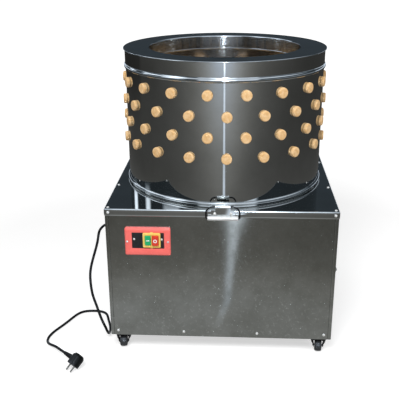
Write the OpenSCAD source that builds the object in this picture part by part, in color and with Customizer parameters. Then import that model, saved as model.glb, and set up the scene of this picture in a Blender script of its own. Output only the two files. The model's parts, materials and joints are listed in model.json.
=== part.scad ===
// Drum-type poultry plucker: a square sheet-metal cabinet on casters carries an open
// polished drum with rubber plucking fingers in its wall. A finger plate turns at the
// bottom of the drum, driven by a motor and a belt inside the cabinet.
// Frame: origin on the floor under the drum's axis, +Z up, the switch side faces -Y.

/* [Cabinet] */
// Width of the square lid across its skirts
lid_w = 660; // [640:5:720]
// Height from the cabinet's bottom edge to the lid's top
cabinet_h = 407; // [395:2:445]
// Thickness of the stainless sheet
sheet = 1.5; // [1:0.1:2]
// Depth of the lid's turned-down skirt
skirt_h = 21; // [18:1:30]
// Gap between the skirt and the panels behind it
skirt_gap = 0.1; // [0.05:0.05:0.3]
// Width of the side panels' front and rear returns
return_w = 10; // [8:1:14]
// Gap between neighbouring sheet edges
seam = 0.2; // [0.1:0.05:0.4]
// Ledge of the lid inside the feather pan's outer wall
lid_ledge = 1; // [0.6:0.1:1.4]
// Distance of the lid's screws from its edges
lid_screw_inset = 10; // [8:1:14]
// Distance of the lid's inner side screws from the centre line
lid_screw_y = 126; // [100:2:160]
// Distance of the skirt's corner screws from the corner
skirt_screw_inset = 12; // [10:0.5:14]
// Height of the panel screws above the panel's bottom edge
panel_screw_z = 15; // [10:1:18]
// Distance of the inner panel screws from the centre line
panel_screw_x = 109; // [80:1:140]
// Distance of the outer panel screws from the panel face's side edge
panel_screw_inset = 22; // [18:1:28]

/* [Frame] */
// Leg length of the angle iron
angle_leg = 30; // [26:1:34]
// Thickness of the angle iron
angle_t = 3; // [2:0.5:4]
// Side of the square tube cross rails
rail_w = 30; // [26:1:36]
// Wall of the square tube
rail_wall = 2; // [1.5:0.5:3]
// Clear distance between the driven pulley's rim and the cross rails
rail_gap = 15; // [10:1:30]
// Thickness of the drive plate
drive_plate_t = 5; // [4:1:8]
// Overhang of the drive plate past the motor and the bearing housing
drive_plate_margin = 34; // [28:1:40]

/* [Drum] */
// Distance of the drum's wall from the lid's edges
drum_inset = 30; // [28:1:34]
// Height from the lid's top to the rim's top
drum_h = 407; // [390:1:430]
// Overhang of the rim past the drum's wall
rim_overhang = 6; // [4:0.5:14]
// Thickness of the rim's hemmed edge
rim_t = 3; // [2.5:0.5:5]
// Width of the flat rim from the drum's wall to the feed opening
rim_w = 72; // [66:1:80]
// Height of the collar that hangs inside the feed opening
collar_h = 42; // [30:1:50]
// Radius of the collar's rolled lower edge
collar_bead_r = 2.5; // [2:0.5:4]
// Radius of the drum's rolled beads
bead_r = 4.5; // [3:0.5:6]
// Distance of the upper bead below the rim's top
upper_bead_drop = 51; // [44:1:60]
// Height of the foot bead's centre above the lid
foot_bead_z = 8; // [6:0.5:12]
// Depth of the rim's locating lip inside the drum
locating_lip_h = 12; // [8:1:16]

/* [Fingers] */
// Fingers in one row round the drum
finger_count = 18; // [14:1:20]
// Height of the lowest row above the lid
first_row_z = 140.5; // [136:0.5:146]
// Height between neighbouring rows
row_pitch = 58.5; // [52:0.5:60]
// Angle of the rows' start to the right of the front
row_phase = 2.7; // [0:0.1:6]
// Diameter of a finger's outer button
finger_head_d = 30; // [26:1:32]
// Height of a finger's outer button
finger_head_h = 10; // [7:0.5:12]
// Diameter of a finger's neck
finger_neck_d = 19; // [16:1:20]
// Gap between a neck and its hole, and between a shoulder and its wall
finger_gap = 0.3; // [0.25:0.05:0.5]
// Diameter of a finger behind its shoulder
finger_root_d = 24; // [22:1:26]
// Diameter of a finger at its tip
finger_tip_d = 14; // [11:1:16]
// Length of a finger from its button to its tip
finger_len = 88; // [80:1:92]

/* [Finger plate] */
// Distance of the turning plate's edge inside the drum's wall
plate_inset = 30; // [24:1:36]
// Thickness of the turning plate
plate_t = 5; // [4:0.5:6]
// Height of the plate's underside above the lid
plate_lift = 24; // [20:1:30]
// Distance of the outer ring of fingers inside the plate's edge
ring_inset = 42; // [36:1:48]
// Distance of the inner ring of fingers from the hub's flange
ring_hub_gap = 36; // [32:1:42]
// Fingers in the outer, middle and inner ring
ring_counts = [16, 11, 6];
// Radius of the hub's flange
hub_r = 60; // [52:1:66]
// Thickness of the hub's flange
hub_t = 8; // [6:1:12]
// Radius of the hub's boss
hub_boss_r = 27; // [24:1:32]
// Length of the hub's boss
hub_boss_h = 46; // [36:1:54]
// Bolts through plate and hub
hub_bolt_count = 6; // [4:1:8]

/* [Drive] */
// Diameter of the main shaft
shaft_d = 30; // [26:1:34]
// Running clearance round a shaft
shaft_gap = 0.05; // [0.02:0.01:0.08]
// Outer radius of the ball bearings
bearing_r = 31; // [28:1:33]
// Height of the ball bearings
bearing_h = 16; // [12:1:20]
// Outer radius of the bearing housing's tube
housing_r = 35; // [34:0.5:38]
// Height of the bearing housing
housing_h = 150; // [130:2:160]
// Radius of the bearing housing's flange
housing_flange_r = 62; // [58:1:68]
// Thickness of the flanges on the drive plate
flange_t = 10; // [8:1:14]
// Distance of the motor's axis from the cabinet's left face
motor_inset = 128.4; // [118:0.2:130]
// Outer radius of the motor's stator housing
motor_r = 62; // [56:1:66]
// Height of the motor's cooling fins
fin_h = 6; // [4:1:8]
// Number of the motor's cooling fins
fin_count = 20; // [12:2:24]
// Radius of the motor's mounting flange
motor_flange_r = 78; // [74:1:84]
// Length of the stator housing
motor_h = 140; // [120:2:144]
// Height of the fan cover
fan_cover_h = 42; // [36:1:48]
// Diameter of the motor shaft
motor_shaft_d = 19; // [16:1:22]
// Distance between the two pulleys' pitch circles
pulley_gap = 32; // [30:1:50]
// Pitch radius of the motor pulley
motor_pitch_r = 28; // [26:1:32]
// Width of both pulleys
pulley_w = 22; // [20:1:24]
// Height of the pulleys' underside above the cabinet's bottom edge
pulley_z = 5; // [3:0.5:6]
// Width of the belt at its back
belt_w = 13; // [12:0.5:14]
// Depth of the belt
belt_h = 8; // [7:0.5:9]
// Gap between belt and pulley groove
belt_gap = 0.35; // [0.3:0.05:0.6]

/* [Feather pan] */
// Gap between the pan's wall and the drum's wall line
pan_inset = 4; // [3.5:0.5:6]
// Slope of the pan's floor in degrees
pan_slope = 14; // [12:0.5:15]
// Height of the outlet's sill above the cabinet's bottom edge
sill_z = 145; // [137:1:151]
// Width of the outlet chute
chute_w = 300; // [220:5:320]
// Height of the outlet
chute_h = 70; // [60:1:80]
// Length of the chute's lip
lip_len = 30; // [20:1:50]
// Slope of the chute's lip in degrees
lip_slope = 25; // [20:1:40]
// Height of the chute's cheeks at the lip's end
lip_side = 12; // [8:1:20]
// Inner radius of the pan's standpipe round the shaft
standpipe_r = 40; // [38:1:44]
// Height of the standpipe's top below the lid
standpipe_drop = 64; // [60:1:90]

/* [Switch] */
// Distance of the switch plate's centre from the cabinet's left face
switch_inset = 121; // [100:0.5:150]
// Distance of the switch plate's centre below the lid's top
switch_drop = 96.5; // [86:0.5:140]
// Width of the red switch plate
switch_plate_w = 130; // [124:1:150]
// Height of the red switch plate
switch_plate_h = 84; // [78:1:100]
// Thickness of the red switch plate
switch_plate_t = 10; // [8:0.5:12]
// Bevel round the red plate's front
switch_bevel = 4; // [2:0.5:5]
// Corner radius of the red switch plate
switch_corner_r = 7; // [4:0.5:10]
// Width of the switch's black face
switch_face_w = 91; // [86:1:94]
// Height of the switch's black face
switch_face_h = 48; // [46:1:54]
// Shift of the black face to the right of the plate's centre
face_shift = 1.3; // [0:0.1:2]
// Rise of the black face's centre above the plate's centre
face_rise = 4.7; // [2:0.1:6]
// Depth of the black face behind the plate's front
face_recess = 1; // [0.5:0.25:2]
// Gap between the black face and its window
face_gap = 0.3; // [0.2:0.05:0.5]
// Width of the yellow bezel
bezel_w = 50.5; // [49:0.5:54]
// Height of the yellow bezel
bezel_h = 44.5; // [42:0.5:46]
// Thickness of the yellow bezel
bezel_t = 4; // [3:0.5:6]
// Shift of the bezel's centre to the right of the face's centre
bezel_shift = 10.7; // [8:0.1:12]
// Rise of the bezel's centre above the face's centre
bezel_rise = 1.8; // [0:0.1:2]
// Width of the start button
start_w = 16.5; // [14:0.5:17.5]
// Width of the stop button
stop_w = 18; // [15:0.5:19]
// Height of both buttons
button_h = 29; // [26:0.5:31]
// Distance between the two buttons' centres
button_pitch = 21; // [20:0.5:22]
// Travel of both buttons
button_travel = 4; // [3:0.5:5]
// Gap round a button
button_gap = 0.4; // [0.3:0.05:0.6]
// Depth of the switch's rear body behind the panel
switch_depth = 44; // [36:1:50]

/* [Handle] */
// Shift of the handle to the right of the centre line
handle_x = 5.5; // [0:0.5:10]
// Half width of the bail between its wire's centre lines
bail_half_w = 47; // [42:0.5:54]
// Distance from the bail's hinge to its grip
bail_drop = 34; // [32:0.5:40]
// Wire radius of the bail
bail_wire_r = 2.5; // [2:0.25:3]
// Height of the bail's hinge above the lid's top
hinge_lift = 13.5; // [12:0.5:16]
// Radius of the grip sleeve
grip_r = 6.4; // [5:0.2:7]
// Gap between the hanging grip and the skirt
grip_gap = 0.6; // [0.4:0.1:1]
// Half length of the knuckle
knuckle_half = 21; // [16:0.5:24]
// Outer radius of the knuckle
knuckle_r = 4.5; // [4:0.25:5]
// Thickness of the handle's strap plate
strap_t = 2.5; // [2:0.25:3]
// Half width of the handle's strap plate
strap_half_w = 33; // [30:0.5:38]
// Half distance between the handle's rivets
rivet_half = 22.7; // [18:0.1:26]
// Distance of the rivets below the lid's top
rivet_drop = 8.4; // [8:0.2:10]

/* [Casters] */
// Height of the casters
caster_h = 49; // [46:0.5:56]
// Distance of the swivel axes from the cabinet's faces
caster_inset = 33; // [30:1:40]
// Side of the casters' top plates
caster_plate_w = 50; // [46:1:56]
// Thickness of the casters' top plates
caster_plate_t = 2.5; // [2:0.5:3]
// Gap between a wheel's tread and its fork's crown
wheel_gap = 2.2; // [2:0.1:4]
// Wheel width
wheel_w = 18; // [14:1:20]
// Distance from the swivel axis to the axle
trail = 14; // [10:1:16]
// Diameter of the axle
axle_d = 6; // [5:0.5:8]
// Radius of the fork's crown, from which its cheeks flare down to the axle
crown_r = 24; // [20:0.5:26]
// Thickness of the fork's cheeks
cheek_t = 2; // [1.5:0.25:3]
// Diameter of the swivel stem
stem_d = 10; // [8:0.5:12]

/* [Power lead] */
// Diameter of the lead
cord_d = 8; // [7:0.5:9]
// Distance of the gland behind the drum's axis line, negative to the front
gland_y = -140; // [-150:1:-130]
// Height of the gland above the cabinet's bottom edge
gland_z = 283; // [275:1:295]
// Radius of the plug's body
plug_r = 18.5; // [17:0.5:20]
// Length of the plug's body along its pins
plug_len = 30; // [26:1:36]
// Length of the plug's strain relief
boot_len = 38; // [30:1:44]
// Length of the plug's pins
pin_len = 19; // [17:0.5:20]
// Diameter of the plug's pins
pin_d = 4.8; // [4:0.1:5]
// Distance between the plug's pins
pin_pitch = 19; // [18:0.5:20]

/* [Hidden] */
$fn = 64;

steel = "silver";
dark_steel = "dimgray";
tan_rubber = "burlywood";
black = "black";

// Cabinet levels and faces
cab_z = caster_h;
lid_z = cab_z + cabinet_h;
under_lid = lid_z - sheet;
rim_z = lid_z + drum_h;
half_lid = lid_w / 2;
face = half_lid - sheet - skirt_gap;
inner = face - sheet;
rail_end = inner - angle_leg - seam;

// Drum and fingers
drum_r = half_lid - drum_inset;
open_r = drum_r - rim_w;
rim_r = drum_r + rim_overhang;
hole_r = finger_neck_d / 2 + finger_gap;
finger_step = 360 / finger_count;
row_lift = [for (i = [0:3]) lid_z + first_row_z + i * row_pitch];
plate_z = lid_z + plate_lift;
plate_r = drum_r - plate_inset;
ring_r = plate_r - ring_inset;
ring_step = (ring_r - hub_r - ring_hub_gap) / 2;
ring_list = [for (i = [0:2]) ring_r - i * ring_step];
hub_bolt_pcd = hub_r + hub_boss_r;
bolt_r = 4;

// Drive train
motor_x = face - motor_inset;
driven_pitch_r = motor_x - motor_pitch_r - pulley_gap;
pulley_lip = 1;
rail_y = driven_pitch_r + belt_h / 2 + pulley_lip + rail_gap + rail_w / 2;
shaft_r = shaft_d / 2;
rail_top = cab_z + angle_t + rail_w;
deck_z = rail_top + drive_plate_t;
housing_top = deck_z + housing_h;
motor_top = deck_z + flange_t + motor_h;
belt_mid_z = cab_z + pulley_z + pulley_w / 2;
belt_back = belt_h / 2;
groove_tan = tan(20);
housing_bolt_pcd = housing_r + housing_flange_r;
motor_bolt_pcd = motor_r + fin_h + motor_flange_r;
spigot_r = 40;
box_drop = 70;
box_gap = 0.3;

// Feather pan
pan_r = drum_r - pan_inset;
lid_hole_r = pan_r - lid_ledge;
sill = cab_z + sill_z;
pan_ratio = tan(pan_slope);
duct_top = sill + chute_h;
chute_half = chute_w / 2;
lip_end = [face + lip_len * cos(lip_slope), sill - lip_len * sin(lip_slope)];
lip_tip = lip_end + lip_side * [sin(lip_slope), cos(lip_slope)];

// Switch
switch_x = switch_inset - face;
switch_mid_z = lid_z - switch_drop;
plate_front = face + switch_plate_t;
face_front = plate_front - face_recess;
bezel_front = face_front + bezel_t;
face_x = switch_x + face_shift;
face_z = switch_mid_z + face_rise;
bezel_x = face_x + bezel_shift;
bezel_z = face_z + bezel_rise;
start_x = bezel_x - button_pitch / 2;
stop_x = bezel_x + button_pitch / 2;
start_out = 2.5;
stop_out = 5;
plunger_len = bezel_front - face - 1.5;
rear_w = 66;
rear_h = 38;
plate_screw_dx = switch_plate_w / 2 - 6.8;
face_screw_dx = switch_face_w / 2 - 6.3;
small_screw_r = 1.6;

// Handle
hinge_y = -(half_lid + grip_r + grip_gap);
hinge_z = lid_z + hinge_lift;
bail_top_r = 20;
bail_low_r = bail_wire_r + 1.5;
strap_low = lid_z - rivet_drop - 5;
rivet_r = 2.4;

// Casters
swivel = face - caster_inset;
race_h = 5;
race_r = 15;
fork_top = caster_h - caster_plate_t - race_h - 0.3;
fork_t = 2;
wheel_d = fork_top - fork_t - wheel_gap;
axle_z = wheel_d / 2;
fork_half = wheel_w / 2 + 0.6;
caster_at = [[-swivel, -swivel], [swivel, -swivel], [-swivel, swivel], [swivel, swivel]];
caster_turn = [4, -7, 160, 205];

// Power lead: points chosen along its hang from the gland and its lie on the floor
cord_r = cord_d / 2;
gland_len = 20;
gland_at = [-face - gland_len, gland_y, cab_z + gland_z];
cord_lie = cord_r + 0.2;
plug_turn = 41;
plug_tilt = 35;
boot_back = 3;
plug_at = [-415, -437, plug_len / 2 * sin(plug_tilt) + plug_r * cos(plug_tilt) + 0.4];
plug_cord_dir = [cos(plug_turn), -sin(plug_turn), 0];
plug_pin_dir = [-sin(plug_turn) * cos(plug_tilt), -cos(plug_turn) * cos(plug_tilt), -sin(plug_tilt)];
boot_start = plug_at - boot_back * plug_pin_dir - (plug_r - 2 + boot_len) * plug_cord_dir;
cord_points = [gland_at, gland_at - [19.6, 0, 2], [-389, -145, 309], [-389, -152, 280],
  [-402, -184, 234], [-411, -204, 196], [-408, -217, 161], [-401, -233, 128], [-386, -251, 105],
  [-368, -279, 72], [-352, -288, 45], [-349, -270, 10], [-350, -233, cord_lie],
  [-358, -198, cord_lie], [-370, -166, cord_lie], [-380, -127, cord_lie], [-409, -113, cord_lie],
  [-453, -115, cord_lie], [-477, -132, cord_lie], [-496, -183, cord_lie], [-515, -224, cord_lie],
  [-530, -253, cord_lie], [-539, -291, cord_lie], [-528, -326, 8], [-498, -353, 20],
  boot_start - 24 * plug_cord_dir, boot_start];

// Angle-iron corner in plan, its legs along +X and +Y from its heel
module angle_section() {
  square([angle_leg, angle_t]);
  square([angle_t, angle_leg]);
}

// Rectangle with round corners, centred
module round_rect(w, h, r) {
  square([w - 2 * r, h], center = true);
  square([w, h - 2 * r], center = true);
  for (sx = [-1, 1], sy = [-1, 1])
    translate([sx * (w / 2 - r), sy * (h / 2 - r)]) circle(r = r, $fn = 32);
}

// Pan-head screw whose head stands on the plane z = 0 and whose shank points to -Z
module pan_screw(head_r, head_h, shank_r, shank_len) {
  cylinder(r = head_r, h = head_h / 2, $fn = 32);
  translate([0, 0, head_h / 2])
    cylinder(r1 = head_r, r2 = head_r * 0.6, h = head_h / 2, $fn = 32);
  translate([0, 0, -shank_len]) cylinder(r = shank_r, h = shank_len, $fn = 32);
}

// Hexagon-head bolt standing on the plane z = 0, shank to -Z
module hex_bolt(r, head_h, shank_len) {
  cylinder(r = r * 1.8, h = head_h, $fn = 6);
  translate([0, 0, -shank_len]) cylinder(r = r, h = shank_len, $fn = 32);
}

// Places children on every side of the cabinet, turned to face outwards
module each_side() {
  for (a = [0, 90, 180, 270]) rotate([0, 0, a]) children();
}

// Places of the lid's screws seen from above
lid_screw_at = [for (sx = [-1, 1], y = [-half_lid + lid_screw_inset + 3, -lid_screw_y, lid_screw_y,
  half_lid - lid_screw_inset - 3]) [sx * (half_lid - lid_screw_inset), y]];
lid_screw_r = 2.4;
screw_hole_r = lid_screw_r + 0.15;
panel_screw_at = [-(face - panel_screw_inset), -panel_screw_x, panel_screw_x, face - panel_screw_inset];

// Bores through one side's sheet and frame for its panel screws, the side facing -Y
module panel_screw_holes() {
  for (x = panel_screw_at)
    translate([x, -face - 1, cab_z + panel_screw_z]) rotate([-90, 0, 0])
      cylinder(r = screw_hole_r, h = angle_t + sheet + 2, $fn = 32);
}

// Bores through the lid and the top rails
module lid_screw_holes() {
  for (p = lid_screw_at)
    translate([p[0], p[1], lid_z - sheet - angle_t - 1])
      cylinder(r = screw_hole_r, h = sheet + angle_t + 2, $fn = 32);
}

// Bores through the skirt's front and rear corners and what lies behind them
module skirt_screw_holes() {
  for (sx = [-1, 1], s = [0, 180])
    rotate([0, 0, s]) translate([sx * (half_lid - skirt_screw_inset), -half_lid - 1,
      lid_z - skirt_h / 2]) rotate([-90, 0, 0])
        cylinder(r = screw_hole_r, h = 2 * sheet + skirt_gap + angle_t + 2, $fn = 32);
}

module frame_posts() {
  color(dark_steel) difference() {
    for (sx = [0, 1], sy = [0, 1]) mirror([sx, 0, 0]) mirror([0, sy, 0])
      translate([-inner, -inner, cab_z + angle_t])
        linear_extrude(under_lid - cab_z - 2 * angle_t) angle_section();
    skirt_screw_holes();
    each_side() panel_screw_holes();
  }
}

// One long rail on the left side: its flat leg runs the full depth
module side_rail() {
  translate([-inner, -inner, 0]) cube([angle_leg, 2 * inner, angle_t]);
  translate([-inner, -rail_end, 0]) cube([angle_t, 2 * rail_end, angle_leg]);
}

// One short rail at the front between the side rails
module front_rail() {
  translate([-rail_end, -inner, 0]) cube([2 * rail_end, angle_leg, angle_t]);
  translate([-rail_end, -inner, 0]) cube([2 * rail_end, angle_t, angle_leg]);
}

module rail_set() {
  for (s = [0, 1]) {
    mirror([s, 0, 0]) side_rail();
    mirror([0, s, 0]) front_rail();
  }
}

module frame_bottom_rails() {
  color(dark_steel) difference() {
    translate([0, 0, cab_z]) rail_set();
    each_side() panel_screw_holes();
    caster_bolt_holes();
  }
}

module frame_top_rails() {
  color(dark_steel) difference() {
    translate([0, 0, under_lid]) mirror([0, 0, 1]) rail_set();
    lid_screw_holes();
  }
}

module cross_rails() {
  reach = inner - angle_t - seam;
  color(dark_steel) for (s = [-1, 1])
    translate([-reach, s * rail_y - rail_w / 2, cab_z + angle_t]) difference() {
      cube([2 * reach, rail_w, rail_w]);
      translate([-1, rail_wall, rail_wall])
        cube([2 * reach + 2, rail_w - 2 * rail_wall, rail_w - 2 * rail_wall]);
    }
}

// Bolt places on the drive plate: the housing's and the motor's
deck_bolts = concat(
  [for (a = [45:90:315]) housing_bolt_pcd / 2 * [cos(a), sin(a)]],
  [for (a = [45:90:315]) [-motor_x, 0] + motor_bolt_pcd / 2 * [cos(a), sin(a)]]);

module deck_bolt_holes(z, h) {
  for (p = deck_bolts) translate([p[0], p[1], z - 1])
    cylinder(r = bolt_r + 0.2, h = h + 2, $fn = 32);
}

module drive_plate() {
  left = motor_x + motor_flange_r + drive_plate_margin - 10;
  right = housing_flange_r + drive_plate_margin;
  half_y = rail_y + rail_w / 2;
  color(dark_steel) difference() {
    translate([-left, -half_y, rail_top]) cube([left + right, 2 * half_y, drive_plate_t]);
    translate([0, 0, rail_top - 1]) cylinder(r = shaft_r + 6, h = drive_plate_t + 2);
    translate([-motor_x, 0, rail_top - 1]) cylinder(r = spigot_r, h = drive_plate_t + 2);
    deck_bolt_holes(rail_top, drive_plate_t);
  }
}

// Flat panel between the side panels' returns, facing -Y
module flat_panel() {
  half = face - return_w - seam;
  translate([-half, -face, cab_z]) cube([2 * half, sheet, under_lid - seam - cab_z]);
}

module front_panel() {
  color(steel) difference() {
    flat_panel();
    panel_screw_holes();
    skirt_screw_holes();
    translate([face_x - rear_w / 2 - 0.5, -face - 1, face_z - rear_h / 2 - 0.5])
      cube([rear_w + 1, sheet + 2, rear_h + 1]);
    switch_screw_holes();
  }
}

module rear_panel() {
  color(steel) rotate([0, 0, 180]) difference() {
    flat_panel();
    panel_screw_holes();
    skirt_screw_holes();
  }
}

// Side sheet on the left with its front and rear returns
module side_panel() {
  h = under_lid - seam - cab_z;
  translate([-face, -face, cab_z]) cube([sheet, 2 * face, h]);
  for (s = [0, 1]) mirror([0, s, 0]) translate([-face, -face, cab_z]) cube([return_w, sheet, h]);
}

module left_panel() {
  color(steel) difference() {
    side_panel();
    rotate([0, 0, 270]) panel_screw_holes();
    skirt_screw_holes();
    translate([-face - 1, gland_y, cab_z + gland_z]) rotate([0, 90, 0])
      cylinder(r = cord_r + 2.7, h = sheet + 2, $fn = 32);
  }
}

module right_panel() {
  color(steel) difference() {
    mirror([1, 0, 0]) side_panel();
    rotate([0, 0, 90]) panel_screw_holes();
    skirt_screw_holes();
    translate([inner - 1, -chute_half - seam, sill - sheet - 1.5])
      cube([sheet + 2, chute_w + 2 * seam, chute_h + sheet + 1.5 + seam]);
  }
}

module panel_screws() {
  color(steel) each_side() for (x = panel_screw_at)
    translate([x, -face, cab_z + panel_screw_z]) rotate([90, 0, 0])
      pan_screw(4, 2.2, lid_screw_r, sheet + angle_t + 2);
}

module lid() {
  color(steel) difference() {
    translate([-half_lid, -half_lid, under_lid]) cube([lid_w, lid_w, sheet]);
    translate([0, 0, under_lid - 1]) cylinder(r = lid_hole_r, h = sheet + 2, $fn = 128);
    lid_screw_holes();
  }
}

// Turned-down edge of the lid all round
module lid_skirt() {
  in = half_lid - sheet;
  deep = skirt_h - sheet;
  color(steel) difference() {
    translate([-half_lid, -half_lid, lid_z - skirt_h]) cube([lid_w, lid_w, deep]);
    translate([-in, -in, lid_z - skirt_h - 1]) cube([2 * in, 2 * in, deep + 2]);
    skirt_screw_holes();
    rivet_holes();
  }
}

module lid_screws() {
  color(steel) {
    for (p = lid_screw_at) translate([p[0], p[1], lid_z])
      pan_screw(4, 2.2, lid_screw_r, sheet + angle_t + 2);
    for (sx = [-1, 1], s = [0, 180])
      rotate([0, 0, s]) translate([sx * (half_lid - skirt_screw_inset), -half_lid,
        lid_z - skirt_h / 2]) rotate([90, 0, 0])
          pan_screw(4, 2.2, lid_screw_r, 2 * sheet + skirt_gap + angle_t + 1);
  }
}

// Everything below the upper face of the pan's sloping floor
module below_pan_floor(drop) {
  translate([face, 0, sill]) rotate([0, pan_slope, 0])
    translate([-2 * lid_w, -lid_w, -lid_w - drop]) cube([3 * lid_w, 2 * lid_w, lid_w]);
}

module pan_wall() {
  cut = chute_half - sheet;
  color(steel) difference() {
    translate([0, 0, sill]) cylinder(r = pan_r, h = under_lid - sill, $fn = 128);
    translate([0, 0, sill - 1]) cylinder(r = pan_r - sheet, h = under_lid - sill + 2, $fn = 128);
    below_pan_floor(0);
    translate([0, -cut, sill - 1]) cube([lid_w, 2 * cut, chute_h + 1 - sheet]);
  }
}

module pan_floor() {
  pipe_top = lid_z - standpipe_drop;
  color(steel) difference() {
    union() {
      intersection() {
        translate([face, 0, sill]) rotate([0, pan_slope, 0])
          translate([-2 * lid_w, -lid_w, -sheet]) cube([3 * lid_w, 2 * lid_w, sheet]);
        union() {
          cylinder(r = pan_r, h = rim_z, $fn = 128);
          translate([0, -chute_half, 0]) cube([face, chute_w, rim_z]);
        }
      }
      difference() {
        cylinder(r = standpipe_r + sheet, h = pipe_top);
        below_pan_floor(sheet / 2);
      }
    }
    translate([0, 0, -1]) cylinder(r = standpipe_r, h = pipe_top + 2);
  }
}

module outlet_chute() {
  wall_x = sqrt(pow(pan_r, 2) - pow(chute_half, 2)) - 4;
  lap = sheet + 0.5;
  under = lap * [sin(lip_slope), cos(lip_slope)];
  start_x = face + seam;
  cheek = [[wall_x, sill + (face - wall_x) * pan_ratio], [face, sill],
    [start_x, sill - seam * tan(lip_slope)], [start_x, sill - seam - lap / cos(lip_slope)],
    lip_end - under, lip_tip, [face, duct_top], [wall_x, duct_top]];
  color(steel) difference() {
    union() {
      for (s = [-1, 1])
        translate([0, s * (chute_half - sheet / 2) + sheet / 2, 0]) rotate([90, 0, 0])
          linear_extrude(sheet) polygon(cheek);
      translate([wall_x, -chute_half + sheet / 2, duct_top - sheet - 0.2])
        cube([face - wall_x - 0.3, chute_w - sheet, sheet]);
      difference() {
        translate([face, sheet / 2 - chute_half, sill]) rotate([0, lip_slope, 0])
          translate([-10, 0, -sheet]) cube([lip_len + 10 - 0.2, chute_w - sheet, sheet]);
        translate([start_x - 40, -chute_half - 1, 0]) cube([40, chute_w + 2, rim_z]);
      }
    }
    cylinder(r = pan_r + seam, h = rim_z, $fn = 128);
  }
}

module drum_shell() {
  color(steel) difference() {
    rotate_extrude($fn = 128) difference() {
      union() {
        translate([drum_r - sheet, lid_z]) square([sheet, drum_h - rim_t]);
        translate([drum_r, rim_z - upper_bead_drop]) circle(r = bead_r, $fn = 32);
        translate([drum_r, lid_z + foot_bead_z]) circle(r = bead_r + 1, $fn = 32);
      }
      translate([drum_r - sheet - 20, lid_z - 20]) square([20, drum_h + 40]);
    }
    for (row = [0:3]) finger_ring(row)
      translate([0, 0, -2 * finger_head_h]) cylinder(r = hole_r, h = 4 * finger_head_h, $fn = 32);
  }
}

module rim_ring() {
  lip_r = drum_r - sheet - finger_gap;
  color(steel) rotate_extrude($fn = 128) {
    translate([open_r, rim_z - rim_t]) square([rim_r - rim_t / 2 - open_r, rim_t]);
    translate([rim_r - rim_t / 2, rim_z - rim_t / 2]) circle(r = rim_t / 2, $fn = 32);
    translate([open_r, rim_z - collar_h]) square([sheet, collar_h]);
    translate([open_r + collar_bead_r, rim_z - collar_h]) circle(r = collar_bead_r, $fn = 32);
    translate([lip_r - sheet, rim_z - rim_t - locating_lip_h]) square([sheet, locating_lip_h + 1]);
  }
}

// Rubber finger through a wall: z = 0 is the wall's outer face, its tip points to +Z
module finger(wall) {
  head = finger_head_d / 2;
  edge = 3;
  tip = finger_tip_d / 2;
  rotate_extrude($fn = 32) polygon([[0, -finger_head_h], [head - edge, -finger_head_h],
    [head, edge - finger_head_h], [head, 0], [finger_neck_d / 2, 0],
    [finger_neck_d / 2, wall + finger_gap], [finger_root_d / 2, wall + finger_gap],
    [finger_root_d / 2, wall + 6], [tip, finger_len - edge], [tip - edge, finger_len],
    [0, finger_len]]);
}

// Places children at every finger of a row on the drum's wall, pointing to the axis
module finger_ring(row) {
  for (i = [0:finger_count - 1])
    rotate([0, 0, row_phase + finger_step * (i + row % 2 / 2)])
      translate([0, -drum_r, row_lift[row]]) rotate([-90, 0, 0]) children();
}

module wall_fingers_even_rows() {
  color(tan_rubber) for (row = [0, 2]) finger_ring(row) finger(sheet);
}

module wall_fingers_odd_rows() {
  color(tan_rubber) for (row = [1, 3]) finger_ring(row) finger(sheet);
}

module bearing_housing() {
  bore = bearing_r - 4;
  color(dark_steel) difference() {
    union() {
      translate([0, 0, deck_z]) cylinder(r = housing_flange_r, h = flange_t);
      translate([0, 0, deck_z]) cylinder(r = housing_r, h = housing_h);
    }
    translate([0, 0, deck_z - 1]) cylinder(r = bore, h = housing_h + 2);
    for (z = [deck_z - 1, housing_top - bearing_h])
      translate([0, 0, z]) cylinder(r = bearing_r + 0.02, h = bearing_h + 1);
    deck_bolt_holes(deck_z, flange_t);
  }
}

module shaft_bearings() {
  color(steel) for (z = [deck_z, housing_top - bearing_h]) translate([0, 0, z]) difference() {
    cylinder(r = bearing_r, h = bearing_h);
    translate([0, 0, -1]) cylinder(r = shaft_r + shaft_gap, h = bearing_h + 2);
  }
}

module drive_bolts() {
  color(dark_steel) for (p = deck_bolts)
    translate([p[0], p[1], deck_z + flange_t]) hex_bolt(bolt_r, 5, flange_t + drive_plate_t);
}

module motor_flange() {
  color(dark_steel) translate([-motor_x, 0, 0]) difference() {
    union() {
      translate([0, 0, deck_z]) cylinder(r = motor_flange_r, h = flange_t);
      translate([0, 0, rail_top + 1]) cylinder(r = spigot_r - 0.3, h = drive_plate_t);
    }
    translate([0, 0, rail_top]) cylinder(r = motor_shaft_d / 2 + shaft_gap, h = 60);
    translate([motor_x, 0, 0]) deck_bolt_holes(deck_z, flange_t);
  }
}

module motor_body() {
  base = deck_z + flange_t;
  color("slategray") translate([-motor_x, 0, base]) difference() {
    union() {
      cylinder(r = motor_r, h = motor_h);
      for (i = [0:fin_count - 1]) rotate([0, 0, 360 / fin_count * (i + 0.5)])
        translate([motor_r - 2, -1.2, bolt_r * 3]) cube([fin_h + 2, 2.4, motor_h - bolt_r * 6]);
      translate([-9, motor_r - 3, motor_h - box_drop - 10]) cube([18, fin_h + 3 + box_gap, 20]);
    }
    translate([0, 0, -1]) cylinder(r = motor_shaft_d / 2 + shaft_gap, h = motor_h / 2);
  }
}

module motor_fan_cover() {
  r = motor_r + fin_h / 2;
  color(dark_steel) translate([-motor_x, 0, motor_top]) difference() {
    union() {
      cylinder(r = r, h = fan_cover_h - 8);
      translate([0, 0, fan_cover_h - 8]) cylinder(r1 = r, r2 = r - 8, h = 8);
    }
    for (i = [0:7]) rotate([0, 0, 45 * i]) translate([r * 0.35, -2, fan_cover_h - 3])
      cube([r * 0.45, 4, 4]);
  }
}

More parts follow.
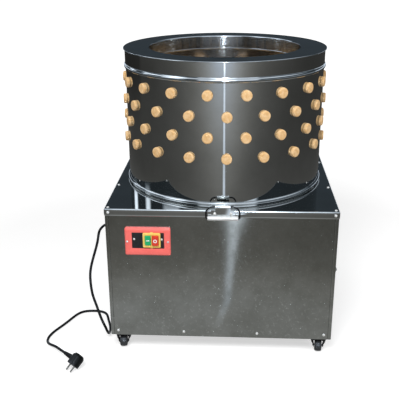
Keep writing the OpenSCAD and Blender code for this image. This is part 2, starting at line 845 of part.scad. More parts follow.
module motor_terminal_box() {
  box_w = 76;
  box_h = 60;
  box_d = 34;
  color(black) translate([-motor_x - box_w / 2, motor_r + fin_h + box_gap, motor_top - box_drop - box_h / 2])
    cube([box_w, box_d, box_h]);
}

// Belt section round a pulley of a given pitch radius, its back outwards
module belt_section(pitch) {
  slim = belt_w / 2 - belt_h * groove_tan;
  polygon([[pitch - belt_back, -slim], [pitch + belt_back, -belt_w / 2],
    [pitch + belt_back, belt_w / 2], [pitch - belt_back, slim]]);
}

module drive_belt() {
  lean = asin((driven_pitch_r - motor_pitch_r) / motor_x);
  run = motor_x * cos(lean);
  color(black) translate([0, 0, belt_mid_z]) {
    rotate([0, 0, -90 - lean]) rotate_extrude(angle = 180 + 2 * lean, $fn = 128)
      belt_section(driven_pitch_r);
    translate([-motor_x, 0, 0]) rotate([0, 0, 90 + lean])
      rotate_extrude(angle = 180 - 2 * lean, $fn = 64) belt_section(motor_pitch_r);
    for (s = [0, 1]) mirror([0, s, 0]) rotate([0, 0, 90 + lean]) rotate([90, 0, 0])
      translate([0, 0, -run]) linear_extrude(run) belt_section(driven_pitch_r);
  }
}

// Grooved pulley rim and hub in section
module pulley_section(pitch, bore, hub, web) {
  top = pitch + belt_back + pulley_lip;
  low = pitch - belt_back - 3;
  mouth = belt_w / 2 + belt_gap / cos(20) + groove_tan;
  floor_w = mouth - (top - low) * groove_tan;
  half = pulley_w / 2;
  difference() {
    union() {
      translate([low - 6, -half]) square([top - low + 6, pulley_w]);
      translate([bore, -half]) square([hub - bore, pulley_w]);
      translate([bore, -web / 2]) square([low - bore, web]);
    }
    polygon([[low, -floor_w], [top + 0.01, -mouth], [top + 0.01, mouth], [low, floor_w]]);
  }
}

module driven_pulley() {
  color(dark_steel) translate([0, 0, belt_mid_z]) difference() {
    rotate_extrude($fn = 128)
      pulley_section(driven_pitch_r, shaft_r + 0.02, shaft_r + 16, 8);
    for (a = [0:60:300]) rotate([0, 0, a])
      translate([(driven_pitch_r + shaft_r) / 2 + 4, 0, -pulley_w])
        cylinder(r = 24, h = 2 * pulley_w);
  }
}

module motor_pulley() {
  color(dark_steel) translate([-motor_x, 0, belt_mid_z]) rotate_extrude()
    pulley_section(motor_pitch_r, motor_shaft_d / 2 + 0.02, motor_pitch_r - belt_h, pulley_w);
}

module motor_shaft() {
  low = cab_z + pulley_z - 1;
  color(steel) translate([-motor_x, 0, low])
    cylinder(r = motor_shaft_d / 2, h = deck_z + flange_t + motor_h / 2 - 4 - low);
}

module main_shaft() {
  low = cab_z + pulley_z - 1;
  top = plate_z + plate_t;
  color(steel) {
    translate([0, 0, low]) cylinder(r = shaft_r, h = top - low);
    translate([0, 0, top]) cylinder(r = shaft_r - 3, h = 22);
  }
}

module shaft_nut() {
  color(steel) translate([0, 0, plate_z + plate_t]) difference() {
    union() {
      cylinder(r = shaft_r + 9, h = 3);
      translate([0, 0, 3]) cylinder(r = shaft_r + 6, h = 15, $fn = 6);
    }
    translate([0, 0, -1]) cylinder(r = shaft_r - 3 + 0.02, h = 30);
  }
}

module hub_bolt_holes(z, h) {
  for (i = [0:hub_bolt_count - 1]) rotate([0, 0, 360 / hub_bolt_count * (i + 0.5)])
    translate([hub_bolt_pcd / 2, 0, z - 1]) cylinder(r = bolt_r + 0.2, h = h + 2, $fn = 32);
}

module plate_hub() {
  color(dark_steel) difference() {
    union() {
      translate([0, 0, plate_z - hub_t]) cylinder(r = hub_r, h = hub_t);
      translate([0, 0, plate_z - hub_boss_h]) cylinder(r = hub_boss_r, h = hub_boss_h);
    }
    translate([0, 0, plate_z - hub_boss_h - 1]) cylinder(r = shaft_r + 0.02, h = hub_boss_h + 2);
    hub_bolt_holes(plate_z - hub_t, hub_t);
  }
}

module hub_bolts() {
  color(steel) for (i = [0:hub_bolt_count - 1]) rotate([0, 0, 360 / hub_bolt_count * (i + 0.5)])
    translate([hub_bolt_pcd / 2, 0, plate_z + plate_t]) hex_bolt(bolt_r, 5, plate_t + hub_t);
}

// Places children at every finger of the turning plate, pointing up
module plate_finger_places() {
  for (ring = [0:2], i = [0:ring_counts[ring] - 1])
    rotate([0, 0, 360 / ring_counts[ring] * (i + ring / 3)])
      translate([ring_list[ring], 0, plate_z]) children();
}

module finger_plate() {
  color(steel) difference() {
    translate([0, 0, plate_z]) cylinder(r = plate_r, h = plate_t, $fn = 128);
    translate([0, 0, plate_z - 1]) cylinder(r = shaft_r + 0.02, h = plate_t + 2);
    hub_bolt_holes(plate_z, plate_t);
    plate_finger_places() translate([0, 0, -1])
      cylinder(r = hole_r, h = plate_t + 2, $fn = 32);
  }
}

module plate_fingers() {
  color(tan_rubber) plate_finger_places() finger(plate_t);
}

// Places of the switch plate's and the black face's screws on the front
switch_screw_at = [for (k = [-1, 1]) each [
  [switch_x + k * plate_screw_dx, switch_mid_z + 1.5, plate_front],
  [face_x + k * face_screw_dx, face_z + 4, face_front]]];

module switch_screw_holes() {
  for (p = switch_screw_at) translate([p[0], -plate_front - 5, p[1]])
    rotate([-90, 0, 0]) cylinder(r = small_screw_r + 0.1, h = plate_front - inner + 8, $fn = 32);
}

module switch_screws() {
  color(steel) for (p = switch_screw_at) translate([p[0], -p[2], p[1]])
    rotate([90, 0, 0]) pan_screw(3, 1.6, small_screw_r, p[2] - inner + 2);
}

// Half section of the red plate across a width, its front edges bevelled
module bevel_section(w) {
  polygon([[-w / 2, -1], [w / 2, -1], [w / 2, switch_plate_t - switch_bevel],
    [w / 2 - switch_bevel, switch_plate_t], [switch_bevel - w / 2, switch_plate_t],
    [-w / 2, switch_plate_t - switch_bevel]]);
}

module switch_plate() {
  w = switch_plate_w;
  h = switch_plate_h;
  color("tomato") difference() {
    translate([switch_x, -face, switch_mid_z]) rotate([90, 0, 0]) intersection() {
      linear_extrude(switch_plate_t) round_rect(w, h, switch_corner_r);
      translate([0, h, 0]) rotate([90, 0, 0]) linear_extrude(2 * h) bevel_section(w);
      translate([-w, 0, 0]) rotate([90, 0, 90]) linear_extrude(2 * w) bevel_section(h);
    }
    translate([face_x - switch_face_w / 2 - face_gap, -plate_front - 1,
      face_z - switch_face_h / 2 - face_gap])
        cube([switch_face_w + 2 * face_gap, switch_plate_t + 2, switch_face_h + 2 * face_gap]);
    switch_screw_holes();
  }
}

// Pockets for both buttons from the bezel's front to a depth
module button_pockets(deep) {
  for (b = [[start_x, start_w], [stop_x, stop_w]])
    translate([b[0] - b[1] / 2 - button_gap, -bezel_front - 1, bezel_z - button_h / 2 - button_gap])
      cube([b[1] + 2 * button_gap, deep + 1, button_h + 2 * button_gap]);
}

module switch_body() {
  color(black) difference() {
    union() {
      translate([face_x - switch_face_w / 2, -face_front, face_z - switch_face_h / 2])
        cube([switch_face_w, face_front - face, switch_face_h]);
      translate([face_x - rear_w / 2, -face - 1, face_z - rear_h / 2])
        cube([rear_w, switch_depth + 1, rear_h]);
    }
    button_pockets(plunger_len + button_travel + 1);
    switch_screw_holes();
  }
}

module switch_bezel() {
  color("gold") difference() {
    translate([bezel_x, -face_front, bezel_z]) rotate([90, 0, 0])
      linear_extrude(bezel_t) round_rect(bezel_w, bezel_h, 3);
    button_pockets(bezel_t + 3);
  }
}

// Push button with its front standing out of the bezel
module button(x, w, out) {
  translate([x, plunger_len - bezel_front, bezel_z]) rotate([90, 0, 0])
    linear_extrude(plunger_len + out) round_rect(w, button_h, 2);
}

module start_button() {
  color("limegreen") button(start_x, start_w, start_out);
}

module stop_button() {
  color("red") button(stop_x, stop_w, stop_out);
}

module rivet_holes() {
  for (s = [-1, 1]) translate([handle_x + s * rivet_half, -half_lid - strap_t - 1, lid_z - rivet_drop])
    rotate([-90, 0, 0]) cylinder(r = rivet_r + 0.1, h = strap_t + sheet + 2, $fn = 32);
}

module handle_rivets() {
  color(steel) for (s = [-1, 1])
    translate([handle_x + s * rivet_half, -half_lid - strap_t, lid_z - rivet_drop])
      rotate([90, 0, 0]) pan_screw(4.2, 2.4, rivet_r, strap_t + sheet);
}

module handle_plate() {
  web_top = hinge_z - knuckle_r / 2;
  color(steel) difference() {
    union() {
      translate([handle_x - strap_half_w, -half_lid - strap_t, strap_low])
        cube([2 * strap_half_w, strap_t, lid_z - strap_low]);
      translate([handle_x - knuckle_half, -half_lid - strap_t, lid_z - 1])
        cube([2 * knuckle_half, strap_t, web_top - lid_z + 1]);
      translate([handle_x - knuckle_half, hinge_y, hinge_z - knuckle_r])
        cube([2 * knuckle_half, -half_lid - hinge_y - strap_t / 2, knuckle_r / 2]);
      translate([handle_x - knuckle_half, hinge_y, hinge_z]) rotate([0, 90, 0])
        cylinder(r = knuckle_r, h = 2 * knuckle_half);
    }
    translate([handle_x - knuckle_half - 1, hinge_y, hinge_z]) rotate([0, 90, 0])
      cylinder(r = bail_wire_r + shaft_gap, h = 2 * knuckle_half + 2);
    rivet_holes();
  }
}

// Quarter of a wire ring in the XZ plane, from +X round to +Z
module wire_elbow(r) {
  rotate([90, 0, 0]) rotate_extrude(angle = 90, $fn = 48)
    translate([r, 0]) circle(r = bail_wire_r, $fn = 32);
}

module wire_rod(len) {
  cylinder(r = bail_wire_r, h = len, $fn = 32);
}

module handle_bail() {
  top = bail_half_w - bail_top_r;
  low = bail_half_w - bail_low_r;
  color(dark_steel) translate([handle_x, hinge_y, hinge_z]) {
    translate([-top, 0, 0]) rotate([0, 90, 0]) wire_rod(2 * top);
    translate([-low, 0, -bail_drop]) rotate([0, 90, 0]) wire_rod(2 * low);
    for (s = [0, 1]) mirror([s, 0, 0]) {
      translate([top, 0, -bail_top_r]) wire_elbow(bail_top_r);
      translate([bail_half_w, 0, bail_low_r - bail_drop])
        wire_rod(bail_drop - bail_top_r - bail_low_r);
      translate([low, 0, bail_low_r - bail_drop]) mirror([0, 0, 1]) wire_elbow(bail_low_r);
    }
  }
}

module handle_grip() {
  half = bail_half_w - bail_low_r - seam;
  color(steel) translate([handle_x - half, hinge_y, hinge_z - bail_drop]) rotate([0, 90, 0])
    difference() {
      cylinder(r = grip_r, h = 2 * half);
      translate([0, 0, -1]) cylinder(r = bail_wire_r + 0.02, h = 2 * half + 2, $fn = 32);
    }
}

// Caster bolt places in plan, on the bottom rails' flat legs
caster_bolt_at = [for (p = caster_at, s = [[1, -0.3], [-0.3, 1], [1, 1]])
  [p[0] + sign(p[0]) * s[0] * (caster_plate_w / 2 - 7), p[1] + sign(p[1]) * s[1] * (caster_plate_w / 2 - 7)]];

module caster_bolt_holes() {
  for (p = caster_bolt_at) translate([p[0], p[1], cab_z - 1])
    cylinder(r = 2.2, h = angle_t + 2, $fn = 32);
}

module caster_plates() {
  color(black) difference() {
    union() {
      for (p = caster_at) translate([p[0], p[1], cab_z - caster_plate_t]) {
        translate([-caster_plate_w / 2, -caster_plate_w / 2, 0])
          cube([caster_plate_w, caster_plate_w, caster_plate_t]);
        translate([0, 0, -race_h]) cylinder(r = race_r, h = race_h + 1);
      }
      for (p = caster_bolt_at) translate([p[0], p[1], cab_z - caster_plate_t - 2])
        cylinder(r = 3.6, h = 3, $fn = 32);
    }
    for (p = caster_at) translate([p[0], p[1], cab_z - caster_plate_t - race_h - 1])
      cylinder(r = stem_d / 2 + shaft_gap, h = race_h + caster_plate_t + 2);
  }
}

// Swivel fork at caster i: stem, crown, two flared cheeks and the axle, its trail towards -Y
module fork(i) {
  axle = axle_z - fork_top;
  low = axle - 6;
  side = [[-crown_r * 0.62, 0], [crown_r * 0.62, 0], [7 - trail, axle + 2], [7 - trail, axle - 3],
    [4 - trail, low], [-4 - trail, low], [-7 - trail, axle - 3], [-7 - trail, axle + 2]];
  flare = [[crown_r * 0.76 - cheek_t, 0], [crown_r * 0.76, 0], [crown_r * 0.76, -fork_t],
    [fork_half + cheek_t, axle + 4], [fork_half + cheek_t, low], [fork_half, low], [fork_half, axle + 4],
    [crown_r * 0.76 - cheek_t, -fork_t]];
  color(black) translate([caster_at[i][0], caster_at[i][1], fork_top]) rotate([0, 0, caster_turn[i]]) {
    translate([0, 0, -fork_t]) cylinder(r = crown_r, h = fork_t);
    translate([0, 0, -fork_t]) cylinder(r = stem_d / 2, h = race_h + caster_plate_t + fork_t - 0.2);
    for (s = [0, 1]) mirror([s, 0, 0]) intersection() {
      rotate([90, 0, 90]) linear_extrude(crown_r) polygon(side);
      translate([0, 2 * crown_r, 0]) rotate([90, 0, 0]) linear_extrude(4 * crown_r) polygon(flare);
    }
    translate([-fork_half - cheek_t - 2, -trail, axle]) rotate([0, 90, 0])
      cylinder(r = axle_d / 2, h = 2 * (fork_half + cheek_t + 2), $fn = 32);
  }
}

// Wheel of caster i on its axle, with a hub collar each side
module wheel(i) {
  r = wheel_d / 2;
  half = wheel_w / 2;
  soft = 3;
  color("dimgray") translate([caster_at[i][0], caster_at[i][1], axle_z]) rotate([0, 0, caster_turn[i]])
    translate([0, -trail, 0]) rotate([0, 90, 0]) rotate_extrude() polygon([
      [axle_d / 2 + shaft_gap, -half - 0.3], [7, -half - 0.3], [8, 3 - half], [r - 7, 3 - half],
      [r - 5, -half], [r - soft, -half], [r, soft - half], [r, half - soft], [r - soft, half],
      [r - 5, half], [r - 7, half - 3], [8, half - 3], [7, half + 0.3],
      [axle_d / 2 + shaft_gap, half + 0.3]]);
}

module cord_gland() {
  bore = cord_r + 0.1;
  color(black) translate([-face, gland_y, cab_z + gland_z]) rotate([0, -90, 0]) difference() {
    union() {
      cylinder(r = 11, h = 6, $fn = 6);
      translate([0, 0, 6]) cylinder(r1 = 9, r2 = 6.5, h = gland_len - 6, $fn = 48);
      translate([0, 0, -sheet - 6]) cylinder(r = cord_r + 2.5, h = sheet + 7, $fn = 48);
      translate([0, 0, -sheet - 6]) cylinder(r = 10, h = 6, $fn = 6);
    }
    translate([0, 0, -sheet - 7]) cylinder(r = bore, h = gland_len + sheet + 8, $fn = 48);
  }
}

// Smooth curve along the lead's points: position on stretch i at t from 0 to 1
function point_at(p, i) = i < 0 ? 2 * p[0] - p[1]
  : i >= len(p) ? 2 * p[len(p) - 1] - p[len(p) - 2] : p[i];
function glide(p, i, t) = (pow(1 - t, 3) * point_at(p, i - 1)
  + (3 * t * t * t - 6 * t * t + 4) * point_at(p, i)
  + (-3 * t * t * t + 3 * t * t + 3 * t + 1) * point_at(p, i + 1)
  + t * t * t * point_at(p, i + 2)) / 6;
function unit(v) = v / norm(v);

// Section frames carried along a path without twist
function carry(v, dir) = unit(v - (v * dir) * dir);
function side_list(dirs, i = 0, v = [0, 0, 1]) =
  i >= len(dirs) ? [] : let (s = carry(v, dirs[i])) concat([s], side_list(dirs, i + 1, s));

module swept_tube(path, r, sides) {
  n = len(path);
  dirs = [for (i = [0:n - 1]) unit(path[min(i + 1, n - 1)] - path[max(i - 1, 0)])];
  up = side_list(dirs);
  points = [for (i = [0:n - 1], k = [0:sides - 1])
    path[i] + r * (cos(360 * k / sides) * up[i] + sin(360 * k / sides) * cross(dirs[i], up[i]))];
  skin = [for (i = [0:n - 2], k = [0:sides - 1]) let (j = (k + 1) % sides, a = i * sides, b = a + sides)
    each [[a + k, b + k, a + j], [a + j, b + k, b + j]]];
  start = [[for (k = [0:sides - 1]) k]];
  end = [[for (k = [sides - 1:-1:0]) (n - 1) * sides + k]];
  polyhedron(concat(points), concat(skin, start, end));
}

module power_cord() {
  last = len(cord_points) - 2;
  path = concat([for (i = [0:last], t = [0, 0.5]) glide(cord_points, i, t)], [cord_points[last + 1]]);
  color(black) swept_tube(path, cord_r, 10);
}

// Puts children on the lying plug: +X along the lead into the plug, -Y along the pins
module at_plug() {
  translate(plug_at) rotate([0, 0, -plug_turn]) rotate([plug_tilt, 0, 0]) children();
}

module plug_body() {
  color(black) at_plug() difference() {
    union() {
      rotate([90, 0, 0]) translate([0, 0, -plug_len / 2]) cylinder(r = plug_r, h = plug_len);
      rotate([-90, 0, 0]) translate([0, 0, plug_len / 2]) cylinder(r1 = plug_r, r2 = plug_r - 5, h = 6);
      translate([-plug_r - boot_len + 2, boot_back, 0]) rotate([0, 90, 0])
        cylinder(r1 = cord_r + 1.2, r2 = 9.5, h = boot_len + 8);
    }
    for (s = [-1, 1]) translate([s * pin_pitch / 2, 0, 0]) rotate([90, 0, 0])
      cylinder(r = pin_d / 2 + 0.02, h = plug_len, $fn = 32);
    translate([-plug_r, -plug_len / 2 - 1, plug_r - 3]) cube([2 * plug_r, 9, 6]);
    translate([-plug_r, -plug_len / 2 - 1, -plug_r - 3]) cube([2 * plug_r, 9, 6]);
  }
}

module plug_pins() {
  color("gold") at_plug() for (s = [-1, 1])
    translate([s * pin_pitch / 2, 0, 0]) rotate([90, 0, 0]) {
      cylinder(r = pin_d / 2, h = plug_len / 2 + pin_len - 1.5, $fn = 32);
      translate([0, 0, plug_len / 2 + pin_len - 1.5])
        cylinder(r1 = pin_d / 2, r2 = pin_d / 2 - 1, h = 1.5, $fn = 32);
    }
}

frame_posts();
frame_bottom_rails();
frame_top_rails();
cross_rails();
drive_plate();
front_panel();
rear_panel();
left_panel();
right_panel();
panel_screws();
lid();
lid_skirt();
lid_screws();
pan_wall();
pan_floor();
outlet_chute();
drum_shell();
rim_ring();
wall_fingers_even_rows();
wall_fingers_odd_rows();
bearing_housing();
shaft_bearings();
drive_bolts();
motor_flange();
motor_body();
motor_fan_cover();
motor_terminal_box();
drive_belt();
switch_plate();
switch_body();
switch_bezel();
switch_screws();
handle_plate();
handle_rivets();
cord_gland();
power_cord();
plug_body();
plug_pins();
caster_plates();
finger_plate();
plate_fingers();
plate_hub();
hub_bolts();
main_shaft();
shaft_nut();
driven_pulley();
motor_shaft();
motor_pulley();
start_button();
stop_button();
handle_bail();
handle_grip();
fork(0);  // fork_front_left
fork(1);  // fork_front_right
fork(2);  // fork_rear_left
fork(3);  // fork_rear_right
wheel(0);  // wheel_front_left
wheel(1);  // wheel_front_right
wheel(2);  // wheel_rear_left
wheel(3);  // wheel_rear_right
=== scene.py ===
import json
import math
import bmesh
import bpy
import numpy as np
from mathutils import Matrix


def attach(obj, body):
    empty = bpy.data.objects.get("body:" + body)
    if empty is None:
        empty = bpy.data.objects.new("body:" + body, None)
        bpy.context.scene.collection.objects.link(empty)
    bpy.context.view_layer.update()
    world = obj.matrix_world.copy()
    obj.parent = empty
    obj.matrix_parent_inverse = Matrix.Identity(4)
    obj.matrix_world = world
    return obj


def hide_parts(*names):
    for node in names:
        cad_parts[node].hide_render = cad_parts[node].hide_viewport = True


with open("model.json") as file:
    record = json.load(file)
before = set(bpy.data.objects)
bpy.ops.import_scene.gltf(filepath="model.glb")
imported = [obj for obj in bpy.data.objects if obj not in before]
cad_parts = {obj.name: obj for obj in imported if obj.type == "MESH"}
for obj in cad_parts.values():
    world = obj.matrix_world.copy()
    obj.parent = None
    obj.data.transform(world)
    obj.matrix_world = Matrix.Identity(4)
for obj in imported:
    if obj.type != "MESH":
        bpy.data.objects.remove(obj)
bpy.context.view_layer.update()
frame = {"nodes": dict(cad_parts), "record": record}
nodes = frame["nodes"]
scene = bpy.context.scene
scene.view_settings.view_transform = "Standard"
mm = 0.001
print("frame loaded:", len(nodes), "nodes")

# Drum plucker in millimetres: floor at z 0, drum axis on Z, switch side towards -Y
cabinet = {"low": 49.0, "top": 456.0, "half": 330.0, "face": 328.4, "sheet": 1.5, "skirt": 21.0,
           "returnWidth": 10.0, "panelTop": 454.3, "bend": 2.5, "curl": 1.0, "seam": 0.2, "lidHole": 295.0,
           "lidBend": 3.2, "bow": 0.3,
           "hem": ((0.3, 3.6), (0.33, 3.3), (0.42, 3.0), (0.95, 0.8), (1.05, 0.4), (1.3, 0.0))}
drum = {"radius": 300.0, "top": 863.0, "rimRadius": 306.0, "openRadius": 228.0, "rimThick": 3.0,
        "upperBead": (812.0, 6.5, 4.8), "footBead": (464.0, 5.5, 5.5), "band": 1.5, "collarLow": 821.0,
        "collarBead": 2.5, "collarLip": 1.1, "locatingLip": 12.0, "segments": 224,
        "wallRows": (470.5, 473, 480, 520, 560, 600, 640, 680, 720, 760, 800, 803, 805),
        "bandRows": (820, 821, 824, 840)}


def linearColour(hexValue):
    # sRGB to linear: c / 12.92 up to 0.04045, above it ((c + 0.055) / 1.055) to the power 2.4
    c = np.array([int(hexValue[i:i + 2], 16) for i in (1, 3, 5)]) / 255
    return (*np.where(c <= 0.04045, c / 12.92, ((c + 0.055) / 1.055) ** 2.4).tolist(), 1.0)


def addNode(tree, kind, links=None, inputs=None, out=0, **settings):
    # a shader node with its settings, constants and links; gives back one of its outputs
    node = tree.nodes.new("ShaderNode" + kind)
    for key, value in settings.items():
        setattr(node, key, value)
    for key, value in (inputs or {}).items():
        node.inputs[key].default_value = value
    for key, socket in (links or {}).items():
        tree.links.new(socket, node.inputs[key])
    return node.outputs[out] if node.outputs else None


def gridFaces(rows, cols, wrapRows, wrapCols):
    # quads between neighbouring rows and columns, running round where a direction wraps
    i = np.arange(rows if wrapRows else rows - 1)[:, None]
    j = np.arange(cols if wrapCols else cols - 1)[None, :]
    k, m = (i + 1) % rows, (j + 1) % cols
    return np.stack([i * cols + j, i * cols + m, k * cols + m, k * cols + j], -1).reshape(-1, 4)


def meshFrom(name, grids, sharpAngle, closed=True, wrapCols=True):
    # each grid is (points, wrapRows) or (points, wrapRows, mark), with points in mm as [rows, cols, 3] or
    # [copies, rows, cols, 3]
    points, faces, marks, start = [], [], [], 0
    for grid, wrapRows, *mark in grids:
        grid = grid if grid.ndim == 4 else grid[None]
        copies, rows, cols = grid.shape[:3]
        step = np.arange(copies)[:, None, None] * rows * cols + start
        faces.append((gridFaces(rows, cols, wrapRows, wrapCols)[None] + step).reshape(-1, 4))
        points.append(grid.reshape(-1, 3))
        marks.append(np.full(copies * rows * cols, mark[0] if mark else 0.0))
        start += copies * rows * cols
    points, faces = np.concatenate(points) * mm, np.concatenate(faces)
    mesh = bpy.data.meshes.new(name)
    mesh.vertices.add(len(points))
    mesh.vertices.foreach_set("co", points.ravel())
    mesh.loops.add(faces.size)
    mesh.loops.foreach_set("vertex_index", faces.ravel())
    mesh.polygons.add(len(faces))
    mesh.polygons.foreach_set("loop_start", np.arange(0, faces.size, 4))
    mesh.update(calc_edges=True)
    mesh.attributes.new("mark", "FLOAT", "POINT").data.foreach_set("value", np.concatenate(marks))
    if closed:  # poles and seams merged, then every shell turned outwards
        bm = bmesh.new()
        bm.from_mesh(mesh)
        bmesh.ops.remove_doubles(bm, verts=bm.verts, dist=2e-6)
        bmesh.ops.dissolve_degenerate(bm, edges=bm.edges, dist=1e-7)
        bmesh.ops.recalc_face_normals(bm, faces=bm.faces)
        bm.to_mesh(mesh)
        bm.free()
    mesh.polygons.foreach_set("use_smooth", np.ones(len(mesh.polygons), bool))
    mesh.set_sharp_from_angle(angle=math.radians(sharpAngle))
    return mesh


def pointsOf(mesh):
    # the mesh's vertices in mm, [count, 3]
    points = np.zeros(len(mesh.vertices) * 3)
    mesh.vertices.foreach_get("co", points)
    return points.reshape(-1, 3) / mm


def setMark(mesh, chosen):
    # mark 1 on the chosen vertices and 0 on the others
    mesh.attributes["mark"].data.foreach_set("value", np.where(chosen, 1.0, 0.0))
    return mesh


def addPiece(mesh, body, slotName, *replaced):
    # the piece takes its mesh's name
    piece = bpy.data.objects.new(mesh.name, mesh)
    scene.collection.objects.link(piece)
    mesh.materials.append(finishes[slotName])
    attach(piece, body)
    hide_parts(*replaced)
    return piece


def lathe(profile, cols):
    # a profile of (radius, height) carried round Z: (r cos a, r sin a, h)
    r, h = np.array(profile, float).T
    a = np.arange(cols) * 2 * np.pi / cols
    return np.stack([r[:, None] * np.cos(a), r[:, None] * np.sin(a), h[:, None] + 0 * a], -1)


def arcPoints(centre, radius, start, end, count):
    # points on a circle arc between two angles in degrees
    a = np.radians(np.linspace(start, end, count))
    return np.array(centre) + radius * np.stack([np.cos(a), np.sin(a)], -1)


def turned(axes):
    # rotation matrices whose third column is each axis, the others any right-handed pair
    axes = np.atleast_2d(np.array(axes, float))
    axes = axes / np.linalg.norm(axes, axis=1, keepdims=True)
    up = np.where(np.abs(axes[:, 2:]) < 0.9, np.array([[0.0, 0, 1]]), np.array([[1.0, 0, 0]]))
    one = np.cross(up, axes)
    one = one / np.linalg.norm(one, axis=1, keepdims=True)
    return np.stack([one, np.cross(axes, one), axes], -1)


def placed(grid, turns, places):
    # the same grid turned and moved to every place
    return np.einsum("nij,rcj->nrci", turns, grid) + np.atleast_2d(places)[:, None, None]


def roundedRect(halfW, halfH, radius, arc, edge):
    # corner arcs joined by straight runs, anticlockwise
    a = np.radians(np.linspace(0, 90, arc)) + np.radians([0, 90, 180, 270])[:, None]
    centres = np.array([[1, 1], [-1, 1], [-1, -1], [1, -1]]) * [halfW - radius, halfH - radius]
    arcs = centres[:, None] + radius * np.stack([np.cos(a), np.sin(a)], -1)
    t = np.linspace(0, 1, edge + 2)[1:-1][None, :, None]
    runs = arcs[:, -1:] * (1 - t) + np.roll(arcs, -1, 0)[:, :1] * t
    return np.concatenate([arcs, runs], 1).reshape(-1, 2)


def facing(outline, depth):
    # an outline in (x, z) set at a depth y, as one row of a grid
    return np.stack([outline[:, 0], np.full(len(outline), float(depth)), outline[:, 1]], -1)


camera = bpy.data.cameras.new("camera")
cameraObject = bpy.data.objects.new("camera", camera)
view = {"place": (0.0440, -2.1057, 1.1583), "lens": 61.76, "yaw": -0.0574, "pitch": 0.3610, "roll": 0.0060}


def aimCamera():
    # forward from yaw and pitch, right level and square to it, both rolled about forward
    y, p, r = view["yaw"], view["pitch"], view["roll"]
    forward = np.array([math.sin(y) * math.cos(p), math.cos(y) * math.cos(p), -math.sin(p)])
    level = np.array([math.cos(y), -math.sin(y), 0.0])
    down = np.cross(forward, level)
    right = math.cos(r) * level + math.sin(r) * down
    up = -(math.cos(r) * down - math.sin(r) * level)
    matrix = np.eye(4)
    matrix[:3] = np.column_stack([right, up, -forward, view["place"]])
    cameraObject.matrix_world = matrix.T.tolist()


camera.lens, camera.sensor_width = view["lens"], 36
camera.clip_end = 60
scene.collection.objects.link(cameraObject)
aimCamera()
scene.camera = cameraObject
print("camera set")


def finishMaterial(name, colours, mottle, roughness, grain, depth, metallic=0.0, mark=None, specks=None,
                   brushed=0.0, **sockets):
    # colours and roughness follow a cloudy noise of mottle mm; bump has grain and depth in mm; mark is the
    # colour, and brushed the added roughness, where the mark attribute is 1; specks are (size mm, colour, share
    # of the surface, and the heights in mm where they start and stop thinning out)
    material = bpy.data.materials.new(name)
    material.use_nodes = True
    tree = material.node_tree
    shader = tree.nodes["Principled BSDF"]
    shader.inputs["Metallic"].default_value = metallic
    for key, value in sockets.items():
        shader.inputs[key].default_value = value
    place = addNode(tree, "TexCoord", out="Object")
    cloud = addNode(tree, "TexNoise", {"Vector": place},
                    {"Scale": 1000 / mottle, "Detail": 5.0, "Roughness": 0.6})
    spread = addNode(tree, "MapRange", {"Value": cloud}, {"From Min": 0.33, "From Max": 0.67})
    light, dark = (linearColour(c) for c in colours)
    tint = addNode(tree, "Mix", {0: spread}, {6: light, 7: dark}, 2, data_type="RGBA")
    smooth, rough = roughness
    gloss = addNode(tree, "MapRange", {"Value": cloud},
                    {"From Min": 0.3, "From Max": 0.7, "To Min": smooth, "To Max": rough})
    if specks:  # dried drops and dust: lighter, duller spots, more of them towards the floor
        size, speckColour, share, low, high = specks
        spot = addNode(tree, "TexNoise", {"Vector": place},
                       {"Scale": 1000 / size, "Detail": 4.0, "Roughness": 0.75})
        height = addNode(tree, "SeparateXYZ", {0: place}, out="Z")
        fade = addNode(tree, "MapRange", {"Value": height},
                       {"From Min": low * mm, "From Max": high * mm, "To Min": 1.0, "To Max": 0.15})
        spot = addNode(tree, "MapRange", {"Value": spot}, {"From Min": 0.55, "From Max": 0.7, "To Max": share})
        spot = addNode(tree, "Math", {0: spot, 1: fade}, operation="MULTIPLY")
        tint = addNode(tree, "Mix", {0: spot, 6: tint}, {7: linearColour(speckColour)}, 2, data_type="RGBA")
        gloss = addNode(tree, "Math", {0: spot, 2: gloss}, {1: 0.35}, operation="MULTIPLY_ADD")
    if mark or brushed:
        flag = addNode(tree, "Attribute", out="Fac", attribute_name="mark")
    if mark:  # raised marks and treads
        tint = addNode(tree, "Mix", {0: flag, 6: tint}, {7: linearColour(mark)}, 2, data_type="RGBA")
    if brushed:  # sheet left brushed round Z, which smears its reflections upright
        smear = addNode(tree, "Math", {0: flag}, {1: 0.9}, operation="MULTIPLY")
        tree.links.new(smear, shader.inputs["Anisotropic"])
        shader.inputs["Anisotropic Rotation"].default_value = 0.25
        around = addNode(tree, "Tangent", direction_type="RADIAL", axis="Z")
        tree.links.new(around, shader.inputs["Tangent"])
        gloss = addNode(tree, "Math", {0: flag, 2: gloss}, {1: brushed}, operation="MULTIPLY_ADD")
    fine = addNode(tree, "TexNoise", {"Vector": place}, {"Scale": 1000 / grain, "Detail": 3.0})
    bump = addNode(tree, "Bump", {"Height": fine}, {"Distance": depth * mm, "Strength": 1.0})
    for key, socket in (("Base Color", tint), ("Roughness", gloss), ("Normal", bump)):
        tree.links.new(socket, shader.inputs[key])
    return material


